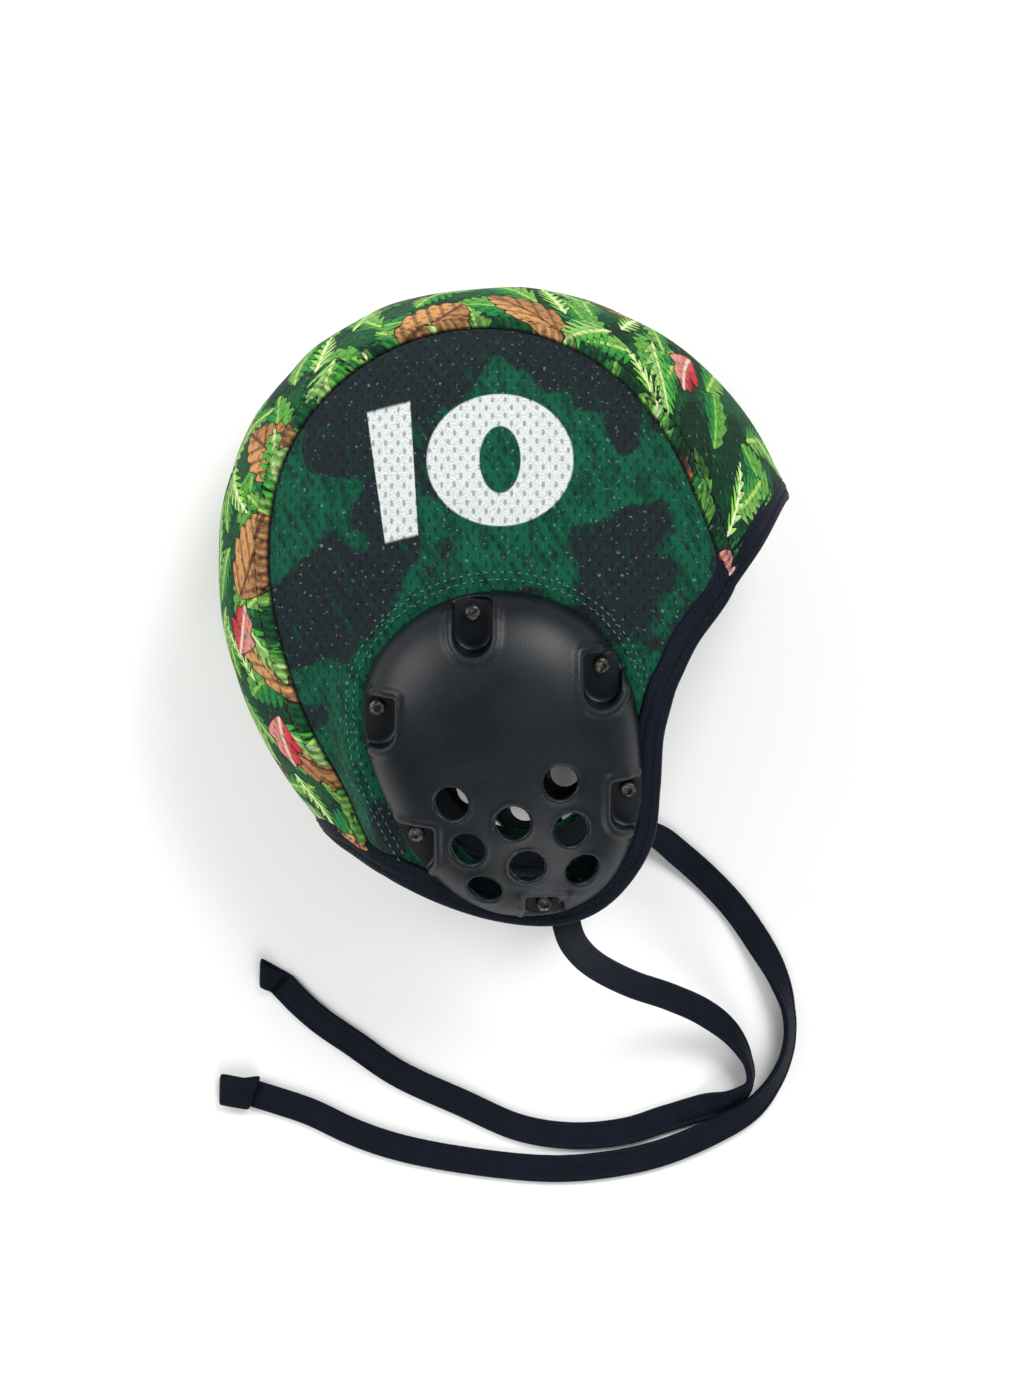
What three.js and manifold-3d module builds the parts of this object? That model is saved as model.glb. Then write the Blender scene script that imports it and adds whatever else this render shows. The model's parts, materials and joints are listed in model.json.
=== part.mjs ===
// Water polo cap of three printed mesh panels, with a bound rim, two ear guards and two tie tapes.
// It lies on its left side. Millimetres, +Z up, +X towards the face, +Y towards the crown.
// The origin is on the surface that the cap lies on, under the middle of its outline.

import * as THREE from 'three';
import { mergeVertices } from 'three/addons/utils/BufferGeometryUtils.js';
import Module from 'manifold-3d';

const wasm = await Module();
wasm.setup();

// Sizes of the whole cap
const HEAD_RADIUS = 103;
const RIGHT_HALF_WIDTH = 65;
const LEFT_HALF_WIDTH = 70;
const MIDDLE_HEIGHT = 63;
const RIGHT_FULLNESS = 2.3;
const LEFT_FULLNESS = 2.5;
const CROWN_CENTRE_Y = 18;

// Cloth, binding and the gap between pieces
const CLOTH = 1.6;
const GAP = 0.3;
const BINDING_WIDTH = 10;
const BINDING_LEG = 1;
const SEAM_GAP = 0.4;

// Ear guard, clamp ring and screws
const GUARD_LENGTH = 116.5;
const GUARD_HEIGHT = 25;
const GUARD_WALL = 2.5;
const GUARD_TILT = THREE.MathUtils.degToRad(11);
const GUARD_CENTRE_Y = -49.5;
const GUARD_RIM_MARGIN = 3;
const GUARD_ROUNDNESS = 2.4;
const EAR_HOLE_INSET = 14;
const SEAT_BLEND = 8;
const SEAT_MARGIN = 6;
const VENT_RADIUS = 6;
const POCKET_RADIUS = 7;
const POCKET_ABOVE = 5.5;
const POCKET_BELOW = 13.6;
const POCKET_WALL = 2.2;
const POCKET_FLOOR = 2.8;
const RING_WIDTH = 10;
const RING_INSET = 2.2;
const RING_THICKNESS = 2.5;
const SCREW_HEAD_RADIUS = 2.8;
const SCREW_HEAD_HEIGHT = 2.2;
const SCREW_SHANK_RADIUS = 1.5;
const SOCKET_RADIUS = 1.5;
const SOCKET_DEPTH = 1.2;
const HOLE_CLEARANCE = 0.36;

// The left flap is folded in until its guard lies level on the surface
const FLAP_LIFT = 14;
const FOLD_REACH = 41;
const FOLD_DEPTH = 40;
const REST_SOFTNESS = 1.5;

// Tie tapes
const TIE_WIDTH = 10.3;
const TIE_THICKNESS = 2.2;
const LOOP_LENGTH = 15;
const LOOP_HEIGHT = 6;
const LOOP_WALL = 1.76;
const LOOP_SEWN_LENGTH = 6.75;

// Crown outline about the crown centre: angle in degrees, then the radius of the outline
// and of the seams as shares of HEAD_RADIUS
const OUTLINE = [
  { angle: 0, radius: 1.053, seam: 0.729 },
  { angle: 20, radius: 0.99, seam: 0.682 },
  { angle: 45, radius: 0.958, seam: 0.7 },
  { angle: 90, radius: 0.945, seam: 0.782 },
  { angle: 120, radius: 0.971, seam: 0.815 },
  { angle: 150, radius: 1.002, seam: 0.829 },
  { angle: 180, radius: 0.996, seam: 0.815 },
  { angle: 205, radius: 1.024, seam: 0.835 },
  { angle: 230, radius: 1.095, seam: 0.935 },
  { angle: 238, radius: 1.151, seam: 1.003 },
  { angle: 250, radius: 1.335, seam: 1.181 },
  { angle: 260, radius: 1.45, seam: 1.34 },
  { angle: 276, radius: 1.53, seam: 1.4 },
  { angle: 295, radius: 1.47, seam: 1.3 },
  { angle: 325, radius: 1.223, seam: 1.0 },
  { angle: 345, radius: 1.1, seam: 0.82 },
];

// Rim of a side panel about the crown centre: angle in degrees, radius as a share of HEAD_RADIUS
const SIDE_RIM = [
  { angle: 249.5, radius: 1.173 },
  { angle: 258, radius: 1.206 },
  { angle: 269, radius: 1.253 },
  { angle: 277, radius: 1.277 },
  { angle: 282, radius: 1.273 },
  { angle: 287, radius: 1.241 },
  { angle: 293, radius: 1.169 },
  { angle: 298, radius: 1.085 },
  { angle: 303, radius: 0.965 },
  { angle: 310, radius: 0.832 },
  { angle: 317, radius: 0.765 },
  { angle: 324, radius: 0.73 },
  { angle: 336, radius: 0.721 },
  { angle: 350.7, radius: 0.785 },
];
const NAPE_ANGLE = 249.5;
const FACE_ANGLE = -9.3;
const FACE_RISE = 21.1;
const FACE_SQUARENESS = 3.2;
const NAPE_RISE = 11.6;
const NAPE_SQUARENESS = 2.5;

// Guard outline about its centre: angle in degrees, radius as a share of GUARD_LENGTH
const GUARD_OUTLINE = [
  { angle: 0, radius: 0.408 },
  { angle: 30, radius: 0.427 },
  { angle: 60, radius: 0.466 },
  { angle: 90, radius: 0.481 },
  { angle: 120, radius: 0.484 },
  { angle: 150, radius: 0.469 },
  { angle: 180, radius: 0.414 },
  { angle: 210, radius: 0.395 },
  { angle: 240, radius: 0.446 },
  { angle: 270, radius: 0.513 },
  { angle: 300, radius: 0.53 },
  { angle: 330, radius: 0.459 },
];

// Screws round the guard: angle in degrees, distance in from the outline
const SCREWS = [
  { angle: 103, inset: 6.5 },
  { angle: 42, inset: 6.5 },
  { angle: -18, inset: 5.5 },
  { angle: -76, inset: 5 },
  { angle: -136, inset: 5 },
  { angle: 161, inset: 5.5 },
];

// Vents in the lower half of the guard, as shares of GUARD_LENGTH from its centre
const VENTS = [
  { along: 0.165, up: -0.064 },
  { along: -0.161, up: -0.13 },
  { along: 0.023, up: -0.186 },
  { along: 0.197, up: -0.211 },
  { along: -0.112, up: -0.273 },
  { along: 0.066, up: -0.326 },
  { along: 0.232, up: -0.344 },
  { along: -0.062, up: -0.407 },
  { along: 0.104, up: -0.443 },
];

// Route of each tie tape from its flap to its loop: place of its middle, and its lean in degrees,
// where 0 lies flat and 90 stands on its edge with the left edge up
const RIGHT_TIE_ROUTE = [
  [20.8, -107, 99.2, 0],
  [21.8, -112.5, 97.5, 0],
  [23.3, -117.5, 92.5, 0],
  [27, -123.5, 81, 0],
  [33.6, -129.8, 66, 0],
  [46.5, -137.4, 47, 0],
  [61.1, -143.4, 31, 0],
  [74.7, -150.4, 18, -10],
  [85.3, -159.1, 10, -45],
  [91.5, -169.5, 6.2, -75],
  [92.2, -177.6, 5.9, -80],
  [85.6, -184.3, 4.6, -40],
  [74.5, -187.6, 1.6, -4],
  [60, -192, 1.4, 0],
  [45.9, -196.4, 1.4, 0],
  [25.9, -198.3, 1.4, 0],
  [5.4, -195.3, 1.4, 0],
  [-16.6, -185.8, 1.4, 0],
  [-41.2, -174.5, 1.4, 0],
  [-57.9, -163.1, 1.4, 0],
  [-70, -154.8, 1.4, 0],
  [-78.3, -147.6, 1.4, 0],
  [-84.8, -140.8, 1.4, 0],
];
const LEFT_TIE_ROUTE = [
  [20.8, -93, 31.2, 0],
  [21.8, -98.5, 31.5, 0],
  [24, -103.5, 27, -20],
  [28.5, -105.5, 20.5, -50],
  [34, -102, 13, -80],
  [38.8, -95.5, 8.6, -85],
  [43, -87.5, 6.8, -80],
  [49, -82.6, 5.8, -60],
  [57.1, -84.6, 4, -30],
  [66.3, -91.8, 2.2, -10],
  [76.2, -100.6, 1.5, 0],
  [86.4, -111.5, 1.5, 0],
  [95.4, -124.3, 2.3, -10],
  [102.6, -137.1, 4.5, -40],
  [106.7, -149.6, 5.8, -65],
  [107.4, -159.4, 6, -68],
  [105.6, -168.9, 5.8, -65],
  [100.7, -178.8, 5.4, -55],
  [92.4, -188.4, 4.4, -34],
  [77, -197.2, 3.2, -15],
  [57, -205.3, 1.8, -3],
  [35.7, -209.6, 1.4, 0],
  [15.6, -210.7, 1.4, 0],
  [-16.6, -207.4, 1.4, 0],
  [-41.2, -202.5, 1.4, 0],
  [-57.9, -196.8, 1.4, 0],
  [-74.2, -189.2, 1.4, 0],
  [-86.3, -185.1, 1.4, 0],
  [-95, -182.4, 1.4, 0],
];

// How finely the solids are faceted
const RIM_STEPS = 24;
const SEAM_STEPS = 20;
const PANEL_ROWS = 6;
const CENTRE_COLUMNS = 8;
const GUARD_SIDES = 28;
const GUARD_ROWS = 4;
const RING_SIDES = 24;
const HOLE_SIDES = 8;
const VENT_SIDES = 8;
const SOCKET_SIDES = 6;
const CURVE_SIDES = 4;
const TIE_STEPS = 46;

// How the surfaces are sampled and cut
const NORMAL_STEP = 0.6;
const NORMAL_TURN = 0.5;
const NORMAL_SHIFT = 0.02;
const RIM_SAMPLES = 240;
const LEAST_SLANT = 0.5;
const SEAT_ROW_SHARE = 0.6;
const UNFOLD_TURNS = 12;
const UNFOLD_STEP = 0.7;
const MERGE_DISTANCE = 1e-4;
const CUT_MARGIN = 1;

const RIGHT = 1;
const LEFT = -1;

const point = (x, y, z) => new THREE.Vector3(x, y, z);
const radians = THREE.MathUtils.degToRad;

function smooth(value) {
  const t = THREE.MathUtils.clamp(value, 0, 1);
  return t * t * (3 - 2 * t);
}

// Smooth curve through a table, read at an angle; a closed table wraps round
function readTable(table, column, angle, closed) {
  const count = table.length;
  const turned = closed ? ((angle % 360) + 360) % 360 : angle;
  let index = 0;
  while (index < count - 1 && table[index + 1].angle <= turned) {
    index += 1;
  }
  const pick = (place) => {
    if (!closed) {
      const held = table[THREE.MathUtils.clamp(place, 0, count - 1)];
      return { angle: held.angle, value: held[column] };
    }
    const entry = table[((place % count) + count) % count];
    return { angle: entry.angle + 360 * Math.floor(place / count), value: entry[column] };
  };
  const before = pick(index - 1);
  const start = pick(index);
  const end = pick(index + 1);
  const after = pick(index + 2);
  const span = end.angle - start.angle;
  if (span === 0) {
    return start.value;
  }
  const share = (turned - start.angle) / span;
  const startSlope = (end.value - before.value) / (end.angle - before.angle) * span;
  const endSlope = (after.value - start.value) / (after.angle - start.angle) * span;
  const squared = share * share;
  const cubed = squared * share;
  return (2 * cubed - 3 * squared + 1) * start.value + (cubed - 2 * squared + share) * startSlope
    + (3 * squared - 2 * cubed) * end.value + (cubed - squared) * endSlope;
}

const outlineRadius = (angle) => HEAD_RADIUS * readTable(OUTLINE, 'radius', angle, true);
const guardRadius = (angle) => GUARD_LENGTH * readTable(GUARD_OUTLINE, 'radius', angle, true);
const halfWidth = (side) => (side === RIGHT ? RIGHT_HALF_WIDTH : LEFT_HALF_WIDTH);
const fullness = (side) => (side === RIGHT ? RIGHT_FULLNESS : LEFT_FULLNESS);

// Distance out from the middle plane, as a share of the half width, at a share of the outline radius
const shellShare = (share, side) => Math.max(1 - share ** fullness(side), 0) ** (1 / fullness(side));

function seamShare(angle, side) {
  return shellShare(HEAD_RADIUS * readTable(OUTLINE, 'seam', angle, true) / outlineRadius(angle), side);
}

// Guard frame: x forward, y up the guard, z out of the head. The folded left flap has lost its tilt.
const seatHeight = (side) => halfWidth(side) - (GUARD_LENGTH / 2) * Math.sin(GUARD_TILT) + GAP;

function guardFrame(side) {
  const tilt = side === RIGHT ? GUARD_TILT : 0;
  return new THREE.Matrix4().makeRotationX(tilt).setPosition(0, GUARD_CENTRE_Y, seatHeight(side));
}

function guardOffset(x, y) {
  const up = (y - GUARD_CENTRE_Y) / Math.cos(GUARD_TILT);
  const angle = THREE.MathUtils.radToDeg(Math.atan2(up, x));
  return { up, distance: Math.hypot(x, up) - guardRadius(angle) };
}

// Distance of the cloth out from the middle plane, before the cap is laid down
function clothOffset(x, y, side) {
  const dy = y - CROWN_CENTRE_Y;
  const angle = THREE.MathUtils.radToDeg(Math.atan2(dy, x));
  const share = Math.min(Math.hypot(x, dy) / outlineRadius(angle), 1);
  const shell = halfWidth(side) * shellShare(share, side);
  const { up, distance } = guardOffset(x, y);
  const stack = GAP + (BINDING_LEG + GAP) * smooth((GUARD_LENGTH / 2 - up) / (GUARD_LENGTH / 4));
  const seat = seatHeight(side) + up * Math.sin(GUARD_TILT) - stack / Math.cos(GUARD_TILT);
  const blend = smooth((distance - SEAT_MARGIN) / SEAT_BLEND);
  return seat + (shell - seat) * blend;
}

// Height of a guard over its seat, at a share of its outline
function domeHeight(share) {
  return GUARD_HEIGHT * Math.sqrt(Math.max(1 - share ** GUARD_ROUNDNESS, 0));
}

// How far the middle of the left guard is folded in
const flapPush = GUARD_HEIGHT + seatHeight(LEFT) - MIDDLE_HEIGHT;

// Height above the surface that the cap lies on, flat where the cloth meets it
function restHeight(height) {
  if (height <= -REST_SOFTNESS) {
    return 0;
  }
  if (height >= REST_SOFTNESS) {
    return height;
  }
  return (height + REST_SOFTNESS) ** 2 / (4 * REST_SOFTNESS);
}

// Lays a place of the upright cap down: x and y stay, out becomes height
function layDown(x, y, out) {
  if (out >= 0) {
    return point(x, y, MIDDLE_HEIGHT + out);
  }
  const near = (FOLD_REACH - guardOffset(x, y).distance) / (FOLD_REACH - SEAT_MARGIN);
  const fold = smooth(-out / FOLD_DEPTH) * smooth(near);
  const push = flapPush + (y - GUARD_CENTRE_Y) * Math.tan(GUARD_TILT);
  return point(x, y + FLAP_LIFT * fold, restHeight(MIDDLE_HEIGHT + out + push * fold));
}

const sidePoint = (x, y, side) => layDown(x, y, side * clothOffset(x, y, side));

// A place on the centre panel: angle round the crown, and across from the left seam at -1
// to the right seam at 1
function centrePoint(angle, across) {
  const side = across >= 0 ? RIGHT : LEFT;
  const share = Math.abs(across) * seamShare(angle, side);
  const radius = outlineRadius(angle) * shellShare(share, side);
  const x = Math.cos(radians(angle)) * radius;
  const y = CROWN_CENTRE_Y + Math.sin(radians(angle)) * radius;
  return layDown(x, y, side * share * halfWidth(side));
}

function normalFrom(along, across) {
  return new THREE.Vector3().crossVectors(along, across).normalize();
}

function sideNormal(x, y, side) {
  const along = sidePoint(x + NORMAL_STEP, y, side).sub(sidePoint(x - NORMAL_STEP, y, side));
  const across = sidePoint(x, y + NORMAL_STEP, side).sub(sidePoint(x, y - NORMAL_STEP, side));
  return normalFrom(along, across).multiplyScalar(side);
}

const alongCrown = (angle, across) => (
  centrePoint(angle + NORMAL_TURN, across).sub(centrePoint(angle - NORMAL_TURN, across))
);

function centreNormal(angle, across) {
  const over = centrePoint(angle, across + NORMAL_SHIFT).sub(centrePoint(angle, across - NORMAL_SHIFT));
  return normalFrom(over, alongCrown(angle, across)).negate();
}

// Rim of a side panel from the nape to the face, kept clear of the guard
function sideRimPlace(angle) {
  const radius = HEAD_RADIUS * readTable(SIDE_RIM, 'radius', angle, false);
  const x = Math.cos(radians(angle)) * radius;
  const y = CROWN_CENTRE_Y + Math.sin(radians(angle)) * radius;
  const { up, distance } = guardOffset(x, y);
  const push = Math.max(GUARD_RIM_MARGIN - distance, 0);
  const length = Math.hypot(x, up);
  const grow = 1 + push / length;
  return { x: x * grow, y: GUARD_CENTRE_Y + up * grow * Math.cos(GUARD_TILT) };
}

function evenSideRim() {
  const fine = [];
  for (let index = 0; index <= RIM_SAMPLES; index += 1) {
    fine.push(sideRimPlace(THREE.MathUtils.lerp(NAPE_ANGLE, 360 + FACE_ANGLE, index / RIM_SAMPLES)));
  }
  const lengths = [0];
  for (let index = 1; index < fine.length; index += 1) {
    const last = fine[index - 1];
    lengths.push(lengths[index - 1] + Math.hypot(fine[index].x - last.x, fine[index].y - last.y));
  }
  const even = [];
  let index = 0;
  for (let step = 0; step <= RIM_STEPS; step += 1) {
    const wanted = lengths[lengths.length - 1] * (step / RIM_STEPS);
    while (index < fine.length - 2 && lengths[index + 1] < wanted) {
      index += 1;
    }
    const share = (wanted - lengths[index]) / (lengths[index + 1] - lengths[index]);
    even.push({
      x: THREE.MathUtils.lerp(fine[index].x, fine[index + 1].x, share),
      y: THREE.MathUtils.lerp(fine[index].y, fine[index + 1].y, share),
    });
  }
  return even;
}

const faceRimAngle = (across) => FACE_ANGLE + FACE_RISE * (1 - Math.abs(across) ** FACE_SQUARENESS);
const napeRimAngle = (across) => NAPE_ANGLE - NAPE_RISE * (1 - Math.abs(across) ** NAPE_SQUARENESS);

const edgeInset = BINDING_LEG + GAP;
const stripInset = BINDING_WIDTH + GAP * 2;
const stripTurn = THREE.MathUtils.radToDeg(stripInset / HEAD_RADIUS);
const faceStripAngle = (across) => faceRimAngle(across) + stripTurn;
const napeStripAngle = (across) => napeRimAngle(across) - stripTurn;
const crownAngle = (across, share) => (
  THREE.MathUtils.lerp(faceStripAngle(across), napeStripAngle(across), share)
);

// The rim of one side as places on the cloth, each with a target further in on the cloth
function sideRimPlaces(side) {
  const places = evenSideRim();
  return places.map(({ x, y }, index) => {
    const place = sidePoint(x, y, side);
    if (index === 0) {
      return { place, target: centrePoint(napeStripAngle(side), side) };
    }
    if (index === RIM_STEPS) {
      return { place, target: centrePoint(faceStripAngle(side), side) };
    }
    const runX = places[index + 1].x - places[index - 1].x;
    const runY = places[index + 1].y - places[index - 1].y;
    const reach = stripInset / Math.hypot(runX, runY);
    return { place, target: sidePoint(x - runY * reach, y + runX * reach, side) };
  });
}

// The whole rim as one loop of frames: place, outward normal, and the slanted way into the cloth
function rimLoop() {
  const columns = Array.from(
    { length: CENTRE_COLUMNS - 1 },
    (_, index) => (2 * (index + 1)) / CENTRE_COLUMNS - 1
  );
  const centreRim = (rimAngle, stripAngle, order) => order.map((across) => (
    { place: centrePoint(rimAngle(across), across), target: centrePoint(stripAngle(across), across) }
  ));
  const loop = [
    ...sideRimPlaces(RIGHT),
    ...centreRim(faceRimAngle, faceStripAngle, [...columns].reverse()),
    ...sideRimPlaces(LEFT).reverse(),
    ...centreRim(napeRimAngle, napeStripAngle, columns),
  ];
  return loop.map(({ place, target }, index) => {
    const ahead = loop[(index + 1) % loop.length].place;
    const behind = loop[(index + loop.length - 1) % loop.length].place;
    const along = ahead.clone().sub(behind).normalize();
    const slant = target.clone().sub(place).normalize();
    const normal = new THREE.Vector3().crossVectors(along, slant).normalize();
    const square = new THREE.Vector3().crossVectors(normal, along);
    return { place, along, normal, inward: slant.divideScalar(Math.max(slant.dot(square), LEAST_SLANT)) };
  });
}

const rim = rimLoop();
const rightRim = rim.slice(0, RIM_STEPS + 1);
const faceRim = rim.slice(RIM_STEPS + 1, RIM_STEPS + CENTRE_COLUMNS);
const leftRim = rim.slice(RIM_STEPS + CENTRE_COLUMNS, 2 * RIM_STEPS + CENTRE_COLUMNS + 1);
const napeRim = rim.slice(2 * RIM_STEPS + CENTRE_COLUMNS + 1);

// A closed solid from an outer and an inner sheet of the same faces, walled along the free edges
function thicken(outer, inner, faces) {
  const count = outer.length;
  const positions = [...outer, ...inner].flatMap((place) => [place.x, place.y, place.z]);
  const indices = [];
  const edges = new Map();
  for (const [a, b, c] of faces) {
    indices.push(a, b, c, count + a, count + c, count + b);
    for (const [from, to] of [[a, b], [b, c], [c, a]]) {
      if (edges.has(`${to},${from}`)) {
        edges.delete(`${to},${from}`);
      } else {
        edges.set(`${from},${to}`, [from, to]);
      }
    }
  }
  for (const [from, to] of edges.values()) {
    indices.push(from, count + from, to, to, count + from, count + to);
  }
  return solidFrom(positions, indices);
}

// A geometry from positions and triangles, turned so that its faces point out
function solidFrom(positions, indices) {
  const geometry = new THREE.BufferGeometry();
  geometry.setAttribute('position', new THREE.Float32BufferAttribute(positions, 3));
  let volume = 0;
  for (let index = 0; index < indices.length; index += 3) {
    const [a, b, c] = [0, 1, 2].map((corner) => {
      const start = indices[index + corner] * 3;
      return point(positions[start], positions[start + 1], positions[start + 2]);
    });
    volume += a.dot(b.cross(c));
  }
  const turned = [];
  for (let index = 0; index < indices.length; index += 3) {
    const [a, b, c] = indices.slice(index, index + 3);
    turned.push(...(volume > 0 ? [a, b, c] : [a, c, b]));
  }
  geometry.setIndex(turned);
  return geometry;
}

function quadFaces(faces, a, b, c, d) {
  faces.push([a, b, c], [a, c, d]);
}

// Place on a seam, moved off the seam line by half the seam gap towards one of its panels
function seamPlace(angle, seam, towardsSide) {
  const place = centrePoint(angle, seam);
  const normal = centreNormal(angle, seam);
  const off = normalFrom(normal, alongCrown(angle, seam));
  const inner = centrePoint(angle, seam * (1 - NORMAL_SHIFT)).sub(place);
  const sign = (off.dot(inner) < 0 ? 1 : -1) * (towardsSide ? 1 : -1);
  place.addScaledVector(off, sign * SEAM_GAP / 2);
  return { place, normal };
}

// Corner of a panel, where a seam meets the rim
function cornerPlace(frame, inset, towards) {
  const place = frame.place.clone().addScaledVector(frame.inward, inset);
  return { place: place.addScaledVector(frame.along, towards * SEAM_GAP / 2), normal: frame.normal };
}

// Side panel: rows run from the ear hole to the binding or the seam, columns run round the ear
function sidePanel(side) {
  const frames = side === RIGHT ? rightRim : leftRim;
  const outer = [];
  const inner = [];
  const faces = [];
  const add = (place, normal) => {
    outer.push(place);
    inner.push(place.clone().addScaledVector(normal, -CLOTH));
    return outer.length - 1;
  };
  const border = frames.map((frame, index) => {
    const turn = index === 0 ? 1 : index === frames.length - 1 ? -1 : 0;
    return { strip: cornerPlace(frame, stripInset, turn), edge: cornerPlace(frame, edgeInset, turn) };
  });
  const seam = [];
  for (let step = 1; step <= SEAM_STEPS; step += 1) {
    const share = step / (SEAM_STEPS + 1);
    seam.push({ strip: seamPlace(crownAngle(1, share), side, true) });
  }
  border.push(...(side === RIGHT ? seam : seam.reverse()));
  const columns = border.map(({ strip }) => {
    const flat = upright(strip.place, side);
    const up = (flat.y - GUARD_CENTRE_Y) / Math.cos(GUARD_TILT);
    const angle = Math.atan2(up, flat.x);
    const edge = Math.hypot(flat.x, up);
    const hole = guardRadius(THREE.MathUtils.radToDeg(angle)) - EAR_HOLE_INSET;
    const seat = Math.min(hole + EAR_HOLE_INSET + SEAT_MARGIN, hole + (edge - hole) * SEAT_ROW_SHARE);
    const rows = [];
    for (let row = 0; row < PANEL_ROWS; row += 1) {
      const reach = row === 0 ? hole : THREE.MathUtils.lerp(seat, edge, (row - 1) / (PANEL_ROWS - 1));
      const x = Math.cos(angle) * reach;
      const y = GUARD_CENTRE_Y + Math.sin(angle) * reach * Math.cos(GUARD_TILT);
      rows.push(add(sidePoint(x, y, side), sideNormal(x, y, side)));
    }
    rows.push(add(strip.place, strip.normal));
    return rows;
  });
  for (let column = 0; column < columns.length; column += 1) {
    const here = columns[column];
    const next = columns[(column + 1) % columns.length];
    for (let row = 0; row < PANEL_ROWS; row += 1) {
      quadFaces(faces, here[row], here[row + 1], next[row + 1], next[row]);
    }
  }
  const edges = frames.map((frame, index) => add(border[index].edge.place, border[index].edge.normal));
  for (let index = 0; index < frames.length - 1; index += 1) {
    const last = columns[index][PANEL_ROWS];
    const after = columns[index + 1][PANEL_ROWS];
    quadFaces(faces, last, edges[index], edges[index + 1], after);
  }
  return thicken(outer, inner, faces);
}

// Undoes the fold of the left flap, to find a laid place on the upright cap
function upright(place, side) {
  if (side === RIGHT) {
    return { x: place.x, y: place.y };
  }
  let y = place.y;
  for (let turn = 0; turn < UNFOLD_TURNS; turn += 1) {
    const laid = sidePoint(place.x, y, side);
    y += (place.y - laid.y) * UNFOLD_STEP;
  }
  return { x: place.x, y };
}

// Centre panel: a strip from the forehead over the crown to the nape, between the two seams
function centrePanel() {
  const outer = [];
  const inner = [];
  const faces = [];
  const add = ({ place, normal }) => {
    outer.push(place);
    inner.push(place.clone().addScaledVector(normal, -CLOTH));
    return outer.length - 1;
  };
  const faceFrames = [leftRim[0], ...[...faceRim].reverse(), rightRim[RIM_STEPS]];
  const napeFrames = [leftRim[RIM_STEPS], ...napeRim, rightRim[0]];
  const endRow = (frames, inset, turns) => frames.map((frame, column) => {
    const turn = column === 0 ? turns[0] : column === CENTRE_COLUMNS ? turns[1] : 0;
    return add(cornerPlace(frame, inset, turn));
  });
  const rows = [endRow(faceFrames, edgeInset, [-1, 1]), endRow(faceFrames, stripInset, [-1, 1])];
  for (let step = 1; step <= SEAM_STEPS; step += 1) {
    const share = step / (SEAM_STEPS + 1);
    const row = [];
    for (let column = 0; column <= CENTRE_COLUMNS; column += 1) {
      const across = (2 * column) / CENTRE_COLUMNS - 1;
      const angle = crownAngle(across, share);
      const atSeam = column === 0 || column === CENTRE_COLUMNS;
      const place = atSeam
        ? seamPlace(angle, across, false)
        : { place: centrePoint(angle, across), normal: centreNormal(angle, across) };
      row.push(add(place));
    }
    rows.push(row);
  }
  rows.push(endRow(napeFrames, stripInset, [1, -1]), endRow(napeFrames, edgeInset, [1, -1]));
  for (let row = 0; row < rows.length - 1; row += 1) {
    for (let column = 0; column < CENTRE_COLUMNS; column += 1) {
      const [low, high] = [rows[row], rows[row + 1]];
      quadFaces(faces, low[column], low[column + 1], high[column + 1], high[column]);
    }
  }
  return thicken(outer, inner, faces);
}

// A closed section moved through a list of frames; a closed list makes a loop.
// The sides in turned take the other diagonal of each four-cornered facet.
function sweep(frames, closed, turned = []) {
  const positions = frames.flat().flatMap((place) => [place.x, place.y, place.z]);
  const sides = frames[0].length;
  const count = frames.length;
  const indices = [];
  const spans = closed ? count : count - 1;
  for (let span = 0; span < spans; span += 1) {
    const here = span * sides;
    const next = ((span + 1) % count) * sides;
    for (let corner = 0; corner < sides; corner += 1) {
      const other = (corner + 1) % sides;
      const [a, b, c, d] = [here + corner, here + other, next + other, next + corner];
      indices.push(...(turned.includes(corner) ? [a, b, d, b, c, d] : [a, b, c, a, c, d]));
    }
  }
  if (!closed) {
    const last = (count - 1) * sides;
    for (let corner = 1; corner < sides - 1; corner += 1) {
      indices.push(0, corner + 1, corner, last, last + corner, last + corner + 1);
    }
  }
  return solidFrom(positions, indices);
}

// Binding: one folded tape round the whole rim, over both faces of the cloth
function rimBinding() {
  const far = BINDING_WIDTH;
  const under = CLOTH + GAP;
  const section = [
    [far, GAP], [BINDING_LEG, GAP], [BINDING_LEG, -under], [far, -under],
    [far, -under - BINDING_LEG], [0, -under - BINDING_LEG], [0, GAP + BINDING_LEG], [far, GAP + BINDING_LEG],
  ];
  const frames = rim.map(({ place, inward, normal }) => section.map(([inset, height]) => (
    place.clone().addScaledVector(inward, inset).addScaledVector(normal, height)
  )));
  return sweep(frames, true, [2, 6]);
}

// Turns a three.js geometry into a solid for cutting and joining, and back
function merge(geometry) {
  const bare = geometry.clone();
  bare.deleteAttribute('normal');
  bare.deleteAttribute('uv');
  return mergeVertices(bare, MERGE_DISTANCE);
}

function toSolid(geometry) {
  const merged = merge(geometry);
  return new wasm.Manifold(new wasm.Mesh({
    numProp: 3,
    vertProperties: Float32Array.from(merged.attributes.position.array),
    triVerts: Uint32Array.from(merged.index.array),
  }));
}

function toGeometry(solid) {
  const mesh = solid.getMesh();
  const geometry = new THREE.BufferGeometry();
  const positions = [];
  for (let index = 0; index < mesh.vertProperties.length; index += mesh.numProp) {
    positions.push(...mesh.vertProperties.slice(index, index + 3));
  }
  geometry.setAttribute('position', new THREE.Float32BufferAttribute(positions, 3));
  geometry.setIndex(Array.from(mesh.triVerts));
  return geometry;
}

// Round bar along z from one height to another
function bar(radius, bottom, top, sides) {
  const geometry = new THREE.CylinderGeometry(radius, radius, top - bottom, sides);
  return geometry.rotateX(Math.PI / 2).translate(0, 0, (top + bottom) / 2);
}

function screwPlace({ angle, inset }) {
  const radius = guardRadius(angle) - inset;
  return { x: Math.cos(radians(angle)) * radius, y: Math.sin(radians(angle)) * radius };
}

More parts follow.
